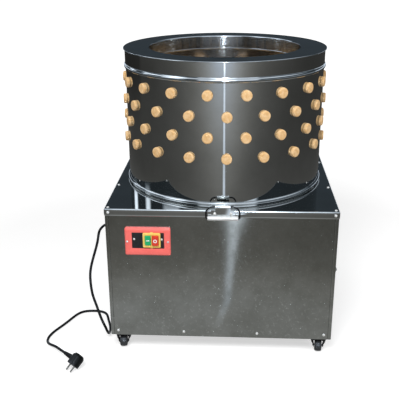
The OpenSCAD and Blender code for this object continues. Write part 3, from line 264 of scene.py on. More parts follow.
finishes = {
    # bright annealed stainless: a mirror with a slow roll wave and a faint haze, brushed inside the drum
    "polished_stainless": finishMaterial(
        "mirror stainless", ("#cdcecc", "#bbbcb9"), 140, (0.02, 0.06), 110, 0.1, 1.0, brushed=0.13),
    # satin stainless: its fine grain only blurs reflections; clouds of handling, dried drops towards the floor
    "satin_stainless": finishMaterial(
        "satin stainless", ("#b2b2ac", "#a0a099"), 60, (0.07, 0.13), 300, 0.3, 1.0,
        specks=(11, "#e2e2dc", 0.55, 60, 430)),
    # grey primer over rolled angle: flat, with a rough coat
    "frame_steel": finishMaterial("primed angle iron", ("#6a6c6d", "#55585a"), 30, (0.5, 0.7), 3, 0.1),
    # lathe-turned steel: bright, its fine turning marks blurring what it mirrors
    "machined_steel": finishMaterial("turned steel", ("#a9a9a8", "#8f8f8d"), 20, (0.25, 0.4), 2, 0.02, 1.0),
    # zinc plate: white and half matt, so small heads read as light dots
    "bright_plated": finishMaterial("white zinc plate", ("#efefed", "#dcdcd9"), 12, (0.3, 0.42), 5, 0.03, 0.4),
    # dark zinc on drawn wire: smoky and half bright
    "handle_wire": finishMaterial("dark zinc wire", ("#4c4c4b", "#343433"), 14, (0.22, 0.36), 4, 0.03, 1.0),
    # natural rubber: matt cloudy tan with moulding dust
    "finger_rubber": finishMaterial(
        "natural rubber", ("#e8c596", "#d3a66c"), 8, (0.5, 0.7), 2.5, 0.12,
        specks=(3, "#f3e2c2", 0.5, 0, 2000)),
    # oiled castings: near black, with a sandy skin
    "cast_iron": finishMaterial("oiled grey iron", ("#3d3d3f", "#2a2a2b"), 18, (0.5, 0.75), 2.5, 0.3),
    # hammered enamel: blue grey and glossy over small dimples
    "motor_paint": finishMaterial("hammered enamel", ("#4f6373", "#445766"), 25, (0.25, 0.4), 4, 0.25),
    # wrapped belt: matt black cloth and rubber
    "belt_rubber": finishMaterial("belt rubber", ("#1d1d1d", "#141414"), 15, (0.6, 0.8), 2, 0.1),
    # moulded plastics: even colour, a soft gloss and the mould's fine texture
    "black_plastic": finishMaterial("moulded black nylon", ("#282729", "#1d1c1e"), 10, (0.3, 0.42), 1.2, 0.05),
    "red_plastic": finishMaterial("moulded coral ABS", ("#fd7770", "#f56e67"), 22, (0.2, 0.3), 1.2, 0.02),
    "yellow_plastic": finishMaterial("moulded yellow ABS", ("#fad475", "#f2c760"), 14, (0.28, 0.4), 1.2, 0.02),
    "green_plastic": finishMaterial(
        "green push cap", ("#22b474", "#1ca768"), 10, (0.25, 0.36), 1.2, 0.02, mark="#f1f3ef"),
    "stop_plastic": finishMaterial(
        "signal red push cap", ("#dd3f2c", "#cc3322"), 10, (0.25, 0.36), 1.2, 0.02, mark="#f3efec"),
    # soft PVC: deep black with a weak, broad shine
    "cord_pvc": finishMaterial(
        "black PVC", ("#0b0b0b", "#070707"), 16, (0.14, 0.22), 2, 0.02, **{"Specular IOR Level": 0.22}),
    # plated pins: warm grey and bright
    "pin_metal": finishMaterial("nickel-plated brass", ("#7d7a72", "#6a675f"), 6, (0.2, 0.32), 2, 0.02, 1.0),
    # stoved black paint on pressed steel, and a nylon hub under a greyer tread
    "caster_metal": finishMaterial("black painted pressing", ("#121213", "#0b0b0c"), 12, (0.16, 0.26), 2, 0.03),
    "wheel_rubber": finishMaterial(
        "black hub and grey tread", ("#1d1d1e", "#151516"), 8, (0.26, 0.4), 2, 0.06, mark="#303234"),
}
print("finishes made:", len(finishes))

# Mains lead: the same route as the solid lead, in metres
lead = {"diameter": 0.008, "gland": (-0.3484, -0.140, 0.332), "bootStart": (-0.45452, -0.39939, 0.02590),
        "bootRun": 0.024, "plugTurn": math.radians(41.0), "samples": 10}
plugDirection = np.array([math.cos(lead["plugTurn"]), -math.sin(lead["plugTurn"]), 0.0])
leadRoute = np.array([
    lead["gland"], (-0.3680, -0.140, 0.330), (-0.389, -0.145, 0.309), (-0.389, -0.152, 0.280),
    (-0.402, -0.184, 0.234), (-0.411, -0.204, 0.196), (-0.408, -0.217, 0.161), (-0.401, -0.233, 0.128),
    (-0.386, -0.251, 0.105), (-0.368, -0.279, 0.072), (-0.352, -0.288, 0.045), (-0.349, -0.270, 0.010),
    (-0.350, -0.233, 0.0042), (-0.358, -0.198, 0.0042), (-0.370, -0.166, 0.0042), (-0.380, -0.127, 0.0042),
    (-0.409, -0.113, 0.0042), (-0.453, -0.115, 0.0042), (-0.477, -0.132, 0.0042), (-0.496, -0.183, 0.0042),
    (-0.515, -0.224, 0.0042), (-0.530, -0.253, 0.0042), (-0.5388, -0.291, 0.0042), (-0.528, -0.326, 0.008),
    (-0.498, -0.353, 0.020), lead["bootStart"] - lead["bootRun"] * plugDirection, lead["bootStart"]])


def smoothRoute(points, samples):
    # uniform cubic B-spline: ((1 - t)^3 a + (3 t^3 - 6 t^2 + 4) b + (-3 t^3 + 3 t^2 + 3 t + 1) c + t^3 d) / 6;
    # a reflected point beyond each end makes it start and stop on the route
    p = np.vstack([2 * points[0] - points[1], points, 2 * points[-1] - points[-2]])
    t = (np.arange(samples) / samples)[None, :, None]
    a, b, c, d = (p[k:len(p) - 3 + k, None] for k in range(4))
    run = ((1 - t) ** 3 * a + (3 * t ** 3 - 6 * t ** 2 + 4) * b
           + (-3 * t ** 3 + 3 * t ** 2 + 3 * t + 1) * c + t ** 3 * d) / 6
    return np.vstack([run.reshape(-1, 3), points[-1:]])


leadLine = smoothRoute(leadRoute, lead["samples"])
leadCurve = bpy.data.curves.new("powerLead", "CURVE")
leadCurve.dimensions = "3D"
leadCurve.bevel_depth, leadCurve.bevel_resolution, leadCurve.use_fill_caps = lead["diameter"] / 2, 4, True
spline = leadCurve.splines.new("POLY")
spline.points.add(len(leadLine) - 1)
spline.points.foreach_set("co", np.column_stack([leadLine, np.ones(len(leadLine))]).ravel())
spline.use_smooth = True
powerLead = addPiece(leadCurve, "base", "cord_pvc", "power_cord")

plug = {"at": (-415.0, -437.0, 24.16), "tilt": 35.0, "radius": 18.5, "half": 15.0, "boot": (-54.5, -8.5),
        "bootBack": 3.0, "ringStep": 5.6, "recess": (3.0, 8.0)}


def aboutZ(angle):
    # rotation about Z by an angle in radians
    return np.array([[math.cos(angle), -math.sin(angle), 0], [math.sin(angle), math.cos(angle), 0], [0, 0, 1]])


def plugFrame():
    # turned about Z by minus the plug's turn, then about its own X by its tilt
    x = math.radians(plug["tilt"])
    aboutX = np.array([[1, 0, 0], [0, math.cos(x), -math.sin(x)], [0, math.sin(x), math.cos(x)]])
    return aboutZ(-lead["plugTurn"]) @ aboutX


def makePlug():
    # body turned about the pin axis, its nose cut flat above and below by the recess (depth, length);
    # the boot turned about the lead axis, with rings cut round it
    r, h, (deep, long) = plug["radius"], plug["half"], plug["recess"]
    body = np.vstack([[(0, -h), (9, -h)], arcPoints((r - 2, 2 - h), 2, -90, 0, 5),
                      [(r, long - h), (r, long - h + 0.02)], arcPoints((r - 2, h - 2), 2, 0, 40, 4),
                      [(r - 3, h + 3)], arcPoints((r - 7, h + 3), 3, 10, 90, 5), [(0, h + 6)]])
    bodyGrid = lathe(body, 48) @ turned([0, 1, 0])[0].T
    nose = bodyGrid[..., 1] < long - h + 0.01
    bodyGrid[..., 2] = np.where(nose, np.clip(bodyGrid[..., 2], deep - r, r - deep), bodyGrid[..., 2])
    x = np.linspace(*plug["boot"], 60)
    along = (x - x[0]) / (x[-1] - x[0])
    ring = np.clip(np.sin((x - x[0]) * 2 * np.pi / plug["ringStep"]), 0, 1) ** 0.6 * (along < 0.66)
    taper = 5.2 + 4.3 * along ** 1.2 - 0.9 * ring
    boot = np.vstack([[(4.02, x[0])], np.column_stack([taper, x]), [(0, x[-1])]])
    bootGrid = lathe(boot, 32) @ turned([1, 0, 0])[0].T + [0, plug["bootBack"], 0]
    turn = plugFrame()[None]
    grids = [(placed(g, turn, plug["at"]), False) for g in (bodyGrid, bootGrid)]
    return meshFrom("plugBody", grids, 40)


plugBody = addPiece(makePlug(), "base", "cord_pvc", "plug_body")
print("lead and plug laid")


def makeDrum():
    # wall profile with two rolled beads (height, half height, stand-out) and the top band a little proud,
    # out on the face and back down the inner wall, turned about Z; the inner wall is marked as brushed
    r, inner, band = drum["radius"], drum["radius"] - cabinet["sheet"], drum["radius"] + drum["band"]
    low, high, rows = cabinet["top"], drum["top"] - drum["rimThick"], drum["wallRows"]
    foot, upper = (arcPoints((0, 0), 1, -90, 90, 15) * [out, tall] + [r, z]
                   for z, tall, out in (drum["footBead"], drum["upperBead"]))
    face = np.vstack([[(inner, low), (r, low)], foot, [(r, z) for z in rows], upper[:13],
                      [(band, z) for z in (*drum["bandRows"], high - 1, high)], [(inner, high)],
                      [(inner, z) for z in rows[-3:1:-1]]])
    mesh = meshFrom("drumWall", [(lathe(face, drum["segments"]), True)], 50)
    return setMark(mesh, np.linalg.norm(pointsOf(mesh)[:, :2], axis=1) < inner + 0.1)


def makeRim():
    # flat ring with a rounded outer edge, a bent-down collar with a rolled lip, marked as brushed, and a
    # locating lip under the ring
    top, thick, o, s = drum["top"], drum["rimThick"], drum["openRadius"], cabinet["sheet"]
    edge, under = drum["rimRadius"] - thick / 2, top - thick
    low, bead, roll = drum["collarLow"], drum["collarBead"], drum["collarLip"]
    lip, lipLow = drum["radius"] - s - 0.3, under - drum["locatingLip"]
    profile = np.vstack([
        [(o, low + 3), (o, top - 4)], arcPoints((o + 3, top - 3), 3, 180, 90, 7),
        [(o + 3.6, top), (o + 30, top), (edge - 0.6, top)],
        arcPoints((edge, top - thick / 2), thick / 2, 90, -90, 9),
        [(lip, under), (lip, lipLow), (lip - s, lipLow), (lip - s, under), (o + 8, under)],
        arcPoints((o + s + 2.5, under - 2.5), 2.5, 90, 180, 5), [(o + s, low + 4)],
        arcPoints((o + bead, low), bead, 60, -180, 15), arcPoints((o, low + 0.2 + roll), roll, 270, 90, 7)])
    mesh = meshFrom("rimRing", [(lathe(profile, drum["segments"]), True)], 40)
    points = pointsOf(mesh)
    return setMark(mesh, (np.linalg.norm(points[:, :2], axis=1) < o + 1) & (points[:, 2] < top - 3))


addPiece(makeDrum(), "base", "polished_stainless", "drum_shell")
addPiece(makeRim(), "base", "polished_stainless", "rim_ring")

finger = {"perRow": 18, "rows": (596.5, 655.0, 713.5, 772.0), "phase": 2.7, "length": 88.0, "rib": 6.5,
          "ribDepth": 0.9, "plateAt": 480.0, "plateThick": 5.0, "rings": ((228.0, 16), (162.0, 11), (96.0, 6))}


def fingerProfile(wall):
    # domed button, neck through the wall, shoulder, then a tapering shaft with shallow rings to a round tip
    long = finger["length"]
    z = np.linspace(wall + 6, long - 4, 25)
    shaft = 12 - 5 * (z - wall - 6) / (long - 9 - wall)
    shaft = shaft - finger["ribDepth"] * (0.5 - 0.5 * np.cos((z - z[0]) * 2 * np.pi / finger["rib"]))
    return np.vstack([[(0, -10), (6, -9.9), (10, -9.6)], arcPoints((11.6, -6.6), 3.2, -80, -8, 5),
                      [(15, -5), (15, -0.8), (14.4, 0), (9.5, 0), (9.5, wall + 0.3), (11.6, wall + 0.3),
                       (12, wall + 1)], np.column_stack([shaft, z]),
                      [(6.2, long - 2.5), (4.6, long - 0.7), (2.4, long - 0.1), (0, long)]])


def fingersAt(name, wall, axes, places):
    # one finger at each place, through a wall of that thickness and along its axis
    grid = placed(lathe(fingerProfile(wall), 20), turned(axes), places)
    return meshFrom(name, [(grid, False)], 45)


def makeWallFingers(name, rowNumbers):
    # one finger at each step round each row, its axis from the wall to the drum's axis
    a, z = np.meshgrid(np.arange(finger["perRow"]), np.array(rowNumbers), indexing="ij")
    a, z = a.ravel(), z.ravel()
    turn = np.radians(finger["phase"] + 360 / finger["perRow"] * (a + z % 2 / 2))
    out = np.stack([np.sin(turn), -np.cos(turn), 0 * turn], -1)
    places = out * drum["radius"] + np.stack([0 * turn, 0 * turn, np.array(finger["rows"])[z]], -1)
    return fingersAt(name, cabinet["sheet"], -out, places)


def makePlateFingers():
    # rings of upright fingers on the turning plate, each ring started a third of its step later
    rows = [np.column_stack([np.full(n, r), 2 * np.pi / n * (np.arange(n) + k / 3)])
            for k, (r, n) in enumerate(finger["rings"])]
    r, a = np.vstack(rows).T
    places = np.stack([r * np.cos(a), r * np.sin(a), np.full(len(r), finger["plateAt"])], -1)
    return fingersAt("plateFingers", finger["plateThick"], [(0, 0, 1)] * len(r), places)


for name, rowNumbers, node in (
        ("wallFingersEven", (0, 2), "wall_fingers_even_rows"),
        ("wallFingersOdd", (1, 3), "wall_fingers_odd_rows")):
    addPiece(makeWallFingers(name, rowNumbers), "base", "finger_rubber", node)
addPiece(makePlateFingers(), "rotor", "finger_rubber", "plate_fingers")
print("drum, rim and fingers made")


def makeLid():
    # rows from the round hole to the square edge, over the bend, down the slightly bowed skirt
    # (inset = bow u squared), down its hem, which leans in, and back inside
    half, top, s, bend = cabinet["half"], cabinet["top"], cabinet["sheet"], cabinet["lidBend"]

    def square(inset, z):
        o = roundedRect(half - inset, half - inset, max(3 - inset, 0.5), 6, 24)
        return np.column_stack([o, np.full(len(o), z)])

    def mixed(t, z):
        o = square(bend, z)
        ring = o[:, :2] / np.linalg.norm(o[:, :2], axis=1, keepdims=True) * cabinet["lidHole"]
        return np.column_stack([ring * (1 - t) + o[:, :2] * t, o[:, 2]])

    over = np.radians(np.linspace(0, 90, 7))
    rows = [mixed(t, top) for t in (0, 0.03, 0.3, 0.6, 0.9, 0.99)]
    bow, low, hem = cabinet["bow"], top - cabinet["skirt"], cabinet["hem"]
    middle, reach = (top - bend + low + hem[0][1]) / 2, (top - bend - low - hem[0][1]) / 2
    rows += [square(bow + (bend - bow) * (1 - math.sin(a)), top - bend * (1 - math.cos(a))) for a in over]
    rows += [square(bow * u * u, middle + u * reach) for u in (0.96, 0.5, 0, -0.5, -0.96)]
    rows += [square(inset, low + up) for inset, up in hem]
    rows += [square(s, low), square(s, top - bend), square(bend, top - s)]
    rows += [mixed(t, top - s) for t in (0.6, 0)]
    return meshFrom("lidSheet", [(np.stack(rows), True)], 30)


addPiece(makeLid(), "base", "polished_stainless", "lid", "lid_skirt")


def beside(ends):
    # a cutout's two ends and a line just outside each
    return [ends[0] - 0.4, ends[0], ends[1], ends[1] + 0.4] if len(ends) else []


def sheetMesh(name, plan, outward, cutout):
    # a bent sheet: the plan carried up Z, with rows close to every edge so that it shades flat up to them;
    # cells inside the cutout (start and end along the face, low, high) are left out
    low, high = cabinet["low"], cabinet["panelTop"]
    levels = np.unique(np.r_[np.linspace(low, high, 9), low + 0.4, high - 0.4, beside(cutout[2:])])
    grid = np.stack([np.column_stack([plan, np.full(len(plan), z)]) for z in levels])
    mesh = meshFrom(name, [(grid, False)], 35, closed=False, wrapCols=False)
    bm = bmesh.new()
    bm.from_mesh(mesh)
    if cutout:
        axis, (start, end, bottom, top) = (0 if outward[1] else 1), np.array(cutout) * mm
        centres = [(x, x.calc_center_median()) for x in bm.faces]
        inside = [x for x, c in centres if start < c[axis] < end and bottom < c.z < top]
        bmesh.ops.delete(bm, geom=inside, context="FACES")
    bm.normal_update()
    main = max(bm.faces, key=lambda x: x.calc_area())
    if main.normal.dot(outward) < 0:
        bmesh.ops.reverse_faces(bm, faces=bm.faces)
    bm.to_mesh(mesh)
    bm.free()
    return mesh


def makeSidePanel(name, side, cutout):
    # side sheet bent round both corners, its return edges rolled slightly inwards
    f, b, curl = cabinet["face"], cabinet["bend"], cabinet["curl"]
    turnIn = f - cabinet["returnWidth"]
    corner = arcPoints((f - b, b - f), b, -90, 0, 6)
    roll = arcPoints((turnIn + curl, curl - f), curl, 195, 270, 4)
    flat = np.unique(np.r_[np.linspace(-f + b, f - b, 14)[1:-1], b - f + 0.5, f - b - 0.5, beside(cutout[:2])])
    plan = np.vstack([roll, [(turnIn + 3, -f)], corner, [(f, y) for y in flat], corner[::-1] * [1, -1],
                      [(turnIn + 3, f)], roll[::-1] * [1, -1]]) * [side, 1]
    return sheetMesh(name, plan, (side, 0, 0), cutout)


def makeFacePanel(name, side, cutout):
    # flat sheet between the returns, both upright edges rolled inwards beside them
    f, curl = cabinet["face"], cabinet["curl"]
    half = f - cabinet["returnWidth"] - cabinet["seam"]
    roll = arcPoints((half - curl, curl - f), curl, -90, -15, 4)
    flat = np.unique(np.r_[np.linspace(3 - half, half - 3, 12), beside(cutout[:2])])
    plan = np.vstack([roll[::-1] * [-1, 1], [(x, -f) for x in flat], roll]) * [1, -side]
    return sheetMesh(name, plan, (0, side, 0), cutout)


cutouts = {"switch": (-239.6, -172.6, 344.7, 383.7), "outlet": (-150.2, 150.2, 191.0, 264.2)}
for name, make, side, cutout, node in (
        ("frontPanel", makeFacePanel, -1, cutouts["switch"], "front_panel"),
        ("rearPanel", makeFacePanel, 1, (), "rear_panel"),
        ("leftPanel", makeSidePanel, -1, (), "left_panel"),
        ("rightPanel", makeSidePanel, 1, cutouts["outlet"], "right_panel")):
    panel = addPiece(make(name, side, cutout), "base", "satin_stainless", node)
    wall = panel.modifiers.new("sheet", "SOLIDIFY")
    wall.thickness, wall.offset = cabinet["sheet"] * mm, -1
print("cabinet sheets made")

# heads are (radius, height); the switch's screws and the rivets are given in (x, y, z)
screws = {"head": (4.0, 2.2), "switchHead": (3.0, 1.6), "rivetHead": (4.2, 2.4), "slot": 0.105,
          "panelX": (-306.4, -109.0, 109.0, 306.4), "panelZ": 64.0, "lidX": 320.0,
          "lidY": (-317.0, -126.0, 126.0, 317.0), "skirtX": 318.0, "skirtZ": 445.5,
          "switch": ((-265.6, -338.4, 361.0), (-149.2, -338.4, 361.0),
                     (-245.3, -337.4, 368.2), (-166.9, -337.4, 368.2)),
          "rivets": ((-17.2, -332.5, 447.6), (28.2, -332.5, 447.6))}


def screwHead(radius, height, crossed):
    # low dome; where a cross with half width slot x radius runs over it, the height drops by a third
    r = np.r_[0, np.linspace(0.1, 0.72, 10), np.linspace(0.78, 1, 5)] * radius
    a = np.arange(48) * 2 * np.pi / 48
    x, y = r[:, None] * np.cos(a), r[:, None] * np.sin(a)
    z = height * (1 - 0.5 * (r[:, None] / radius) ** 2.6) + 0 * a
    near = np.minimum(np.abs(x), np.abs(y))
    cut = (near < screws["slot"] * radius) & (r[:, None] < 0.62 * radius)
    z = z - np.where(cut & crossed, 0.34 * height, 0)
    rim = np.stack([x[-1], y[-1], 0 * a], -1)
    return np.concatenate([np.stack([x, y, z], -1), rim[None], 0 * rim[None]])


along = np.array([(x, -cabinet["face"], screws["panelZ"]) for x in screws["panelX"]])
sides = [aboutZ(k * math.pi / 2) for k in range(4)]
panelPlaces = np.vstack([along @ q.T for q in sides])
panelAxes = np.vstack([np.tile(q @ [0, -1, 0], (4, 1)) for q in sides])
corners = [(sx, sy) for sx in (-1, 1) for sy in (-1, 1)]
lidPlaces = np.array([(sx * screws["lidX"], y, cabinet["top"]) for sx in (-1, 1) for y in screws["lidY"]]
                     + [(sx * screws["skirtX"], sy * cabinet["half"], screws["skirtZ"]) for sx, sy in corners])
lidAxes = np.array([(0, 0, 1.0)] * 8 + [(0, sy, 0) for sx, sy in corners])
for name, places, axes, head, crossed, node in (
        ("panelScrews", panelPlaces, panelAxes, "head", True, "panel_screws"),
        ("lidScrews", lidPlaces, lidAxes, "head", True, "lid_screws"),
        ("switchScrews", screws["switch"], [(0, -1, 0)] * 4, "switchHead", True, "switch_screws"),
        ("handleRivets", screws["rivets"], [(0, -1, 0)] * 2, "rivetHead", False, "handle_rivets")):
    grid = placed(screwHead(*screws[head], crossed), turned(axes), places)
    addPiece(meshFrom(name, [(grid, False)], 30), "base", "bright_plated", node)
print("fasteners made")

# the caps are (x, half width, front)
switch = {"x": -207.4, "z": 359.5, "half": (65.0, 42.0), "corner": 4.5, "back": -328.4, "front": -338.4,
          "bevel": 4.0, "faceX": -206.1, "faceZ": 364.2, "faceHalf": (45.8, 24.3), "bezelX": -195.4,
          "bezelZ": 366.0, "bezelHalf": (25.25, 22.25), "bezelBack": -337.4, "bezelFront": -341.4,
          "bar": (1.45, 15.2), "clip": (4.0, 1.7), "buttonHalf": 14.5, "buttonBack": -330.0,
          "start": (-205.9, 8.25, -343.9), "stop": (-184.9, 9.0, -346.4), "ringMark": (3.1, 5.4),
          "barMark": (4.6, 1.2)}


def loft(rows, cap=False):
    # outlines of equal count stacked as the rows of a grid; caps close the first and the last on their middles
    if cap:
        first, last = (np.repeat(r.mean(0)[None], len(r), 0) for r in (rows[0], rows[-1]))
        rows = [first, *rows, last]
    return np.stack(rows)


def block(wide, narrow, back, edge, front):
    # straight from the back to the edge, then drawn in to the narrow outline at the front
    return loft([facing(wide, back), facing(wide, edge), facing(narrow, front)], True)


def makeSwitchPlate():
    # back edge, side, bevel, flat front, then down through the window and back
    s, (w, h), (faceW, faceH) = switch, switch["half"], switch["faceHalf"]

    def outer(inset, depth):
        o = roundedRect(w - inset, h - inset, s["corner"] - inset * 0.6, 8, 4)
        return facing(o + [s["x"], s["z"]], depth)

    def hole(grow, depth):
        o = roundedRect(faceW + grow, faceH + grow, 1.2 + grow, 8, 4)
        return facing(o + [s["faceX"], s["faceZ"]], depth)

    b, front = s["bevel"], s["front"]
    rows = [outer(0, s["back"]), outer(0, front + b + 0.6), outer(0.25, front + b - 0.3),
            outer(b - 0.5, front + 0.35), outer(b + 0.6, front), hole(0.8, front), hole(0.2, front + 0.2),
            hole(0, front + 0.8), hole(0, s["back"])]
    return meshFrom("switchPlate", [(loft(rows), True)], 28)


def makeBezel():
    # rounded frame round both caps, a bar between them and a clip at top and bottom
    s, (w, h), middle = switch, switch["bezelHalf"], switch["bezelZ"]
    (startX, startHalf), (stopX, stopHalf) = s["start"][:2], s["stop"][:2]
    left, right = startX - startHalf - 0.4, stopX + stopHalf + 0.4
    back, front = s["bezelBack"], s["bezelFront"]

    def outer(inset, depth):
        o = roundedRect(w - inset, h - inset, 3 - inset * 0.7, 6, 3)
        return facing(o + [s["bezelX"], middle], depth)

    def hole(grow, depth):
        o = roundedRect((right - left) / 2 + grow, s["buttonHalf"] + 0.4 + grow, 2.2 + grow, 6, 3)
        return facing(o + [(left + right) / 2, middle], depth)

    ring = loft([outer(0, back), outer(0, front + 1.2), outer(0.4, front + 0.35), outer(1.3, front),
                 hole(1.0, front), hole(0.3, front + 0.3), hole(0, front + 1), hole(0, back)])
    barX = (startX + startHalf + stopX - stopHalf) / 2
    grids = [(ring, True)]
    for x, z, (hw, hh), high in (
            (barX, middle, s["bar"], front + 0.2),
            (s["bezelX"], middle + h + 0.6, s["clip"], back - 2.2),
            (s["bezelX"], middle - h - 0.6, s["clip"], back - 2.6)):
        wide, narrow = (roundedRect(hw - g, hh - g, 0.9 - g * 0.5, 4, 2) + [x, z] for g in (0, 0.5))
        grids.append((block(wide, narrow, back, high + 0.5, high), False))
    return meshFrom("switchBezel", grids, 30)


def makeButton(name, x, halfW, front, mark):
    # a push cap with rounded edges and a shallow dish, and its raised white mark
    h, z, back = switch["buttonHalf"], switch["bezelZ"], switch["buttonBack"]

    def ring(inset, depth):
        return facing(roundedRect(halfW - inset, h - inset, max(2 - inset * 0.5, 0.6), 6, 3) + [x, z], depth)

    cap = loft([ring(0, back), ring(0, front + 1.4), ring(0.4, front + 0.4), ring(1.3, front),
                ring(2.6, front + 0.1), ring(5, front + 0.45)], True)
    grids = [(cap, False)]
    if mark == "bar":
        hw, hh = switch["barMark"]
        wide, narrow = (roundedRect(hw - g, hh - g * 0.6, 0.5 - g * 0.3, 4, 2) + [x, z] for g in (0, 0.25))
        grids.append((block(wide, narrow, front + 0.6, front + 0.1, front), False, 1.0))
    else:
        inner, outer = switch["ringMark"]
        ringProfile = [(inner, -0.6), (inner, 0), (outer, 0), (outer, -0.6)]
        circle = placed(lathe(ringProfile, 40), turned([0, -1, 0]), (x, front + 0.05, z))
        grids.append((circle, True, 1.0))
    return meshFrom(name, grids, 30)


addPiece(makeSwitchPlate(), "base", "red_plastic", "switch_plate")
addPiece(makeBezel(), "base", "yellow_plastic", "switch_bezel")
for push, mark, slot in (("start", "bar", "green_plastic"), ("stop", "ring", "stop_plastic")):
    cap = makeButton(push + "Button", *switch[push], mark)
    addPiece(cap, push + "_push", slot, push + "_button")
print("switch made")

handle = {"x": 5.5, "y": -337.0, "z": 469.5, "half": 47.0, "drop": 34.0, "topRadius": 20.0, "lowRadius": 4.0,
          "wire": 2.5, "grip": 6.4, "gripHalf": 42.8, "gripRoll": 1.6}


def makeBail():
    # a circle carried along a rounded frame in the XZ plane: point + wire (cos a normal + sin a Y)
    h, d, big, low = handle["half"], handle["drop"], handle["topRadius"], handle["lowRadius"]
    path = np.vstack([arcPoints((h - big, -big), big, 0, 90, 14), arcPoints((big - h, -big), big, 90, 180, 14),
                      arcPoints((low - h, low - d), low, 180, 270, 8),
                      arcPoints((h - low, low - d), low, 270, 360, 8)])
    ahead = np.roll(path, -1, 0) - np.roll(path, 1, 0)
    ahead = ahead / np.linalg.norm(ahead, axis=1, keepdims=True)
    normal = np.column_stack([ahead[:, 1], 0 * ahead[:, 0], -ahead[:, 0]])
    a = np.arange(16) * 2 * np.pi / 16
    centre = facing(path, 0) + [handle["x"], handle["y"], handle["z"]]
    ring = np.cos(a)[:, None] * normal[:, None] + np.sin(a)[:, None] * np.array([0, 1.0, 0])
    return meshFrom("handleBail", [(centre[:, None] + handle["wire"] * ring, True)], 60)


def makeGrip():
    # a tube with rolled ends turned about X
    g, h, w, roll = handle["grip"], handle["gripHalf"], handle["wire"] + 0.1, handle["gripRoll"]
    profile = np.vstack([[(w, -h), (g - roll, -h)], arcPoints((g - roll, roll - h), roll, -90, 0, 5),
                         arcPoints((g - roll, h - roll), roll, 0, 90, 5), [(w, h)]])
    at = (handle["x"], handle["y"], handle["z"] - handle["drop"])
    grid = placed(lathe(profile, 40), turned([1, 0, 0]), at)
    return meshFrom("handleGrip", [(grid, True)], 40)


addPiece(makeBail(), "handle", "handle_wire", "handle_bail")
addPiece(makeGrip(), "handle", "bright_plated", "handle_grip")

caster = {"at": 295.4, "trail": 14.0, "axle": 18.5, "radius": 18.5, "half": 10.8, "tread": 5.6, "top": 41.2,
          "crown": 24.0, "stem": (5.0, 6.6), "cheek": 1.6, "headAt": 13.7, "pin": (2.9, 13.0),
          "turns": {"front_left": 4, "front_right": -7, "rear_left": 160, "rear_right": 205}}
# fork cheeks from crown to axle: height, half width, middle, half depth, half angle in degrees, roundness
cheekRows = np.array([
    (40.2, 23.4, 0, 22, 78, 1.0), (36.5, 23.6, -1, 22, 58, 0.9), (33, 23.3, -2.5, 21, 52, 0.8),
    (28, 21.4, -6, 19, 46, 0.6), (24, 17.6, -10, 16, 42, 0.35), (21, 14.8, -13, 14, 38, 0.15),
    (18.5, 13.9, -14, 13.5, 34, 0.1), (14, 13.6, -14, 13.5, 24, 0), (11.5, 13.5, -14, 13.5, 9, 0)])


def makeWheel(name, turnZ, at):
    # hub, dished web and a crowned tread turned about the axle; the tread is marked
    h, r, deep = caster["half"], caster["radius"], caster["tread"]
    hub = np.array([(3.05, -h), (6.6, -h), (7.2, 0.7 - h), (8, 3.3 - h), (11.4, 3.3 - h), (12.4, 1.2 - h)])
    t = np.radians(np.linspace(-84, 84, 21))
    tread = np.column_stack([r - deep + deep * np.cos(t) ** 0.62, h * np.sin(t)])
    place = turnZ @ [0, -caster["trail"], 0] + at + [0, 0, caster["axle"]]
    axle = turnZ @ [1.0, 0, 0]
    grid = placed(lathe(np.vstack([hub, tread, hub[::-1] * [1, -1]]), 48), turned(axle), place)
    mesh = meshFrom(name, [(grid, True)], 40)
    offset = pointsOf(mesh) - place
    radius = np.linalg.norm(offset - (offset @ axle)[:, None] * axle, axis=1)
    return setMark(mesh, radius > r - deep - 0.2)


def makeFork(name, turnZ, at):
    # crown disc on its stem, two pressed cheeks and the axle's heads; each cheek row is an arc
    # x = half width (1 - roundness (1 - cos a)), y = middle + half depth sin a, doubled inwards by the sheet
    top, crown, s, (stem, tall) = caster["top"], caster["crown"], caster["cheek"], caster["stem"]
    disc = lathe([(0, top - 2), (crown - 0.6, top - 2), (crown, top - 1.4), (crown, top - 0.5),
                  (crown - 0.5, top), (stem, top), (stem, top + tall), (0, top + tall)], 48)
    axle = np.array([0, -caster["trail"], caster["axle"]])
    grids, bow = [disc], np.linspace(-1, 1, 13)
    for side in (-1, 1):
        rows = []
        for z, wide, middle, deep, angle, roundness in cheekRows:
            a = np.radians(angle) * bow
            x = wide * (1 - roundness * (1 - np.cos(a)))
            arc = np.column_stack([x, middle + deep * np.sin(a), z + 0 * a])
            rows.append(np.vstack([arc, (arc - [s, 0, 0])[::-1]]) * [side, 1, 1])
        grids.append(loft(rows, True))
        head = lathe([(0, 0), (4.4, 0), (4.4, 1.2), (3.6, 2.2), (1.8, 2.7), (0, 2.8)], 24)
        grids.append(placed(head, turned([side, 0, 0]), axle + [side * caster["headAt"], 0, 0]))
    r, half = caster["pin"]
    grids.append(placed(lathe([(0, -half), (r, -half), (r, half), (0, half)], 20), turned([1, 0, 0]), axle))
    return meshFrom(name, [(g @ turnZ.T + at, False) for g in grids], 40)


for corner, turn in caster["turns"].items():
    # the swivel axis on the floor, and the rotation about it
    at = np.array([1 if "right" in corner else -1, 1 if "rear" in corner else -1, 0]) * caster["at"]
    turnZ = aboutZ(math.radians(turn))
    for kind, make, body, slot in (
            ("wheel", makeWheel, "wheel_", "wheel_rubber"), ("fork", makeFork, "caster_", "caster_metal")):
        name = kind + "." + corner
        addPiece(make(name, turnZ, at), body + corner, slot, kind + "_" + corner)
print("handle and wheels made")

for part in frame["record"]["subparts"]:
    slot = "polished_stainless" if part["node"] == "handle_plate" else part["material_slot"]
    node = nodes[part["node"]]
    node.data.materials.clear()
    node.data.materials.append(finishes[slot])
print("CAD nodes finished")

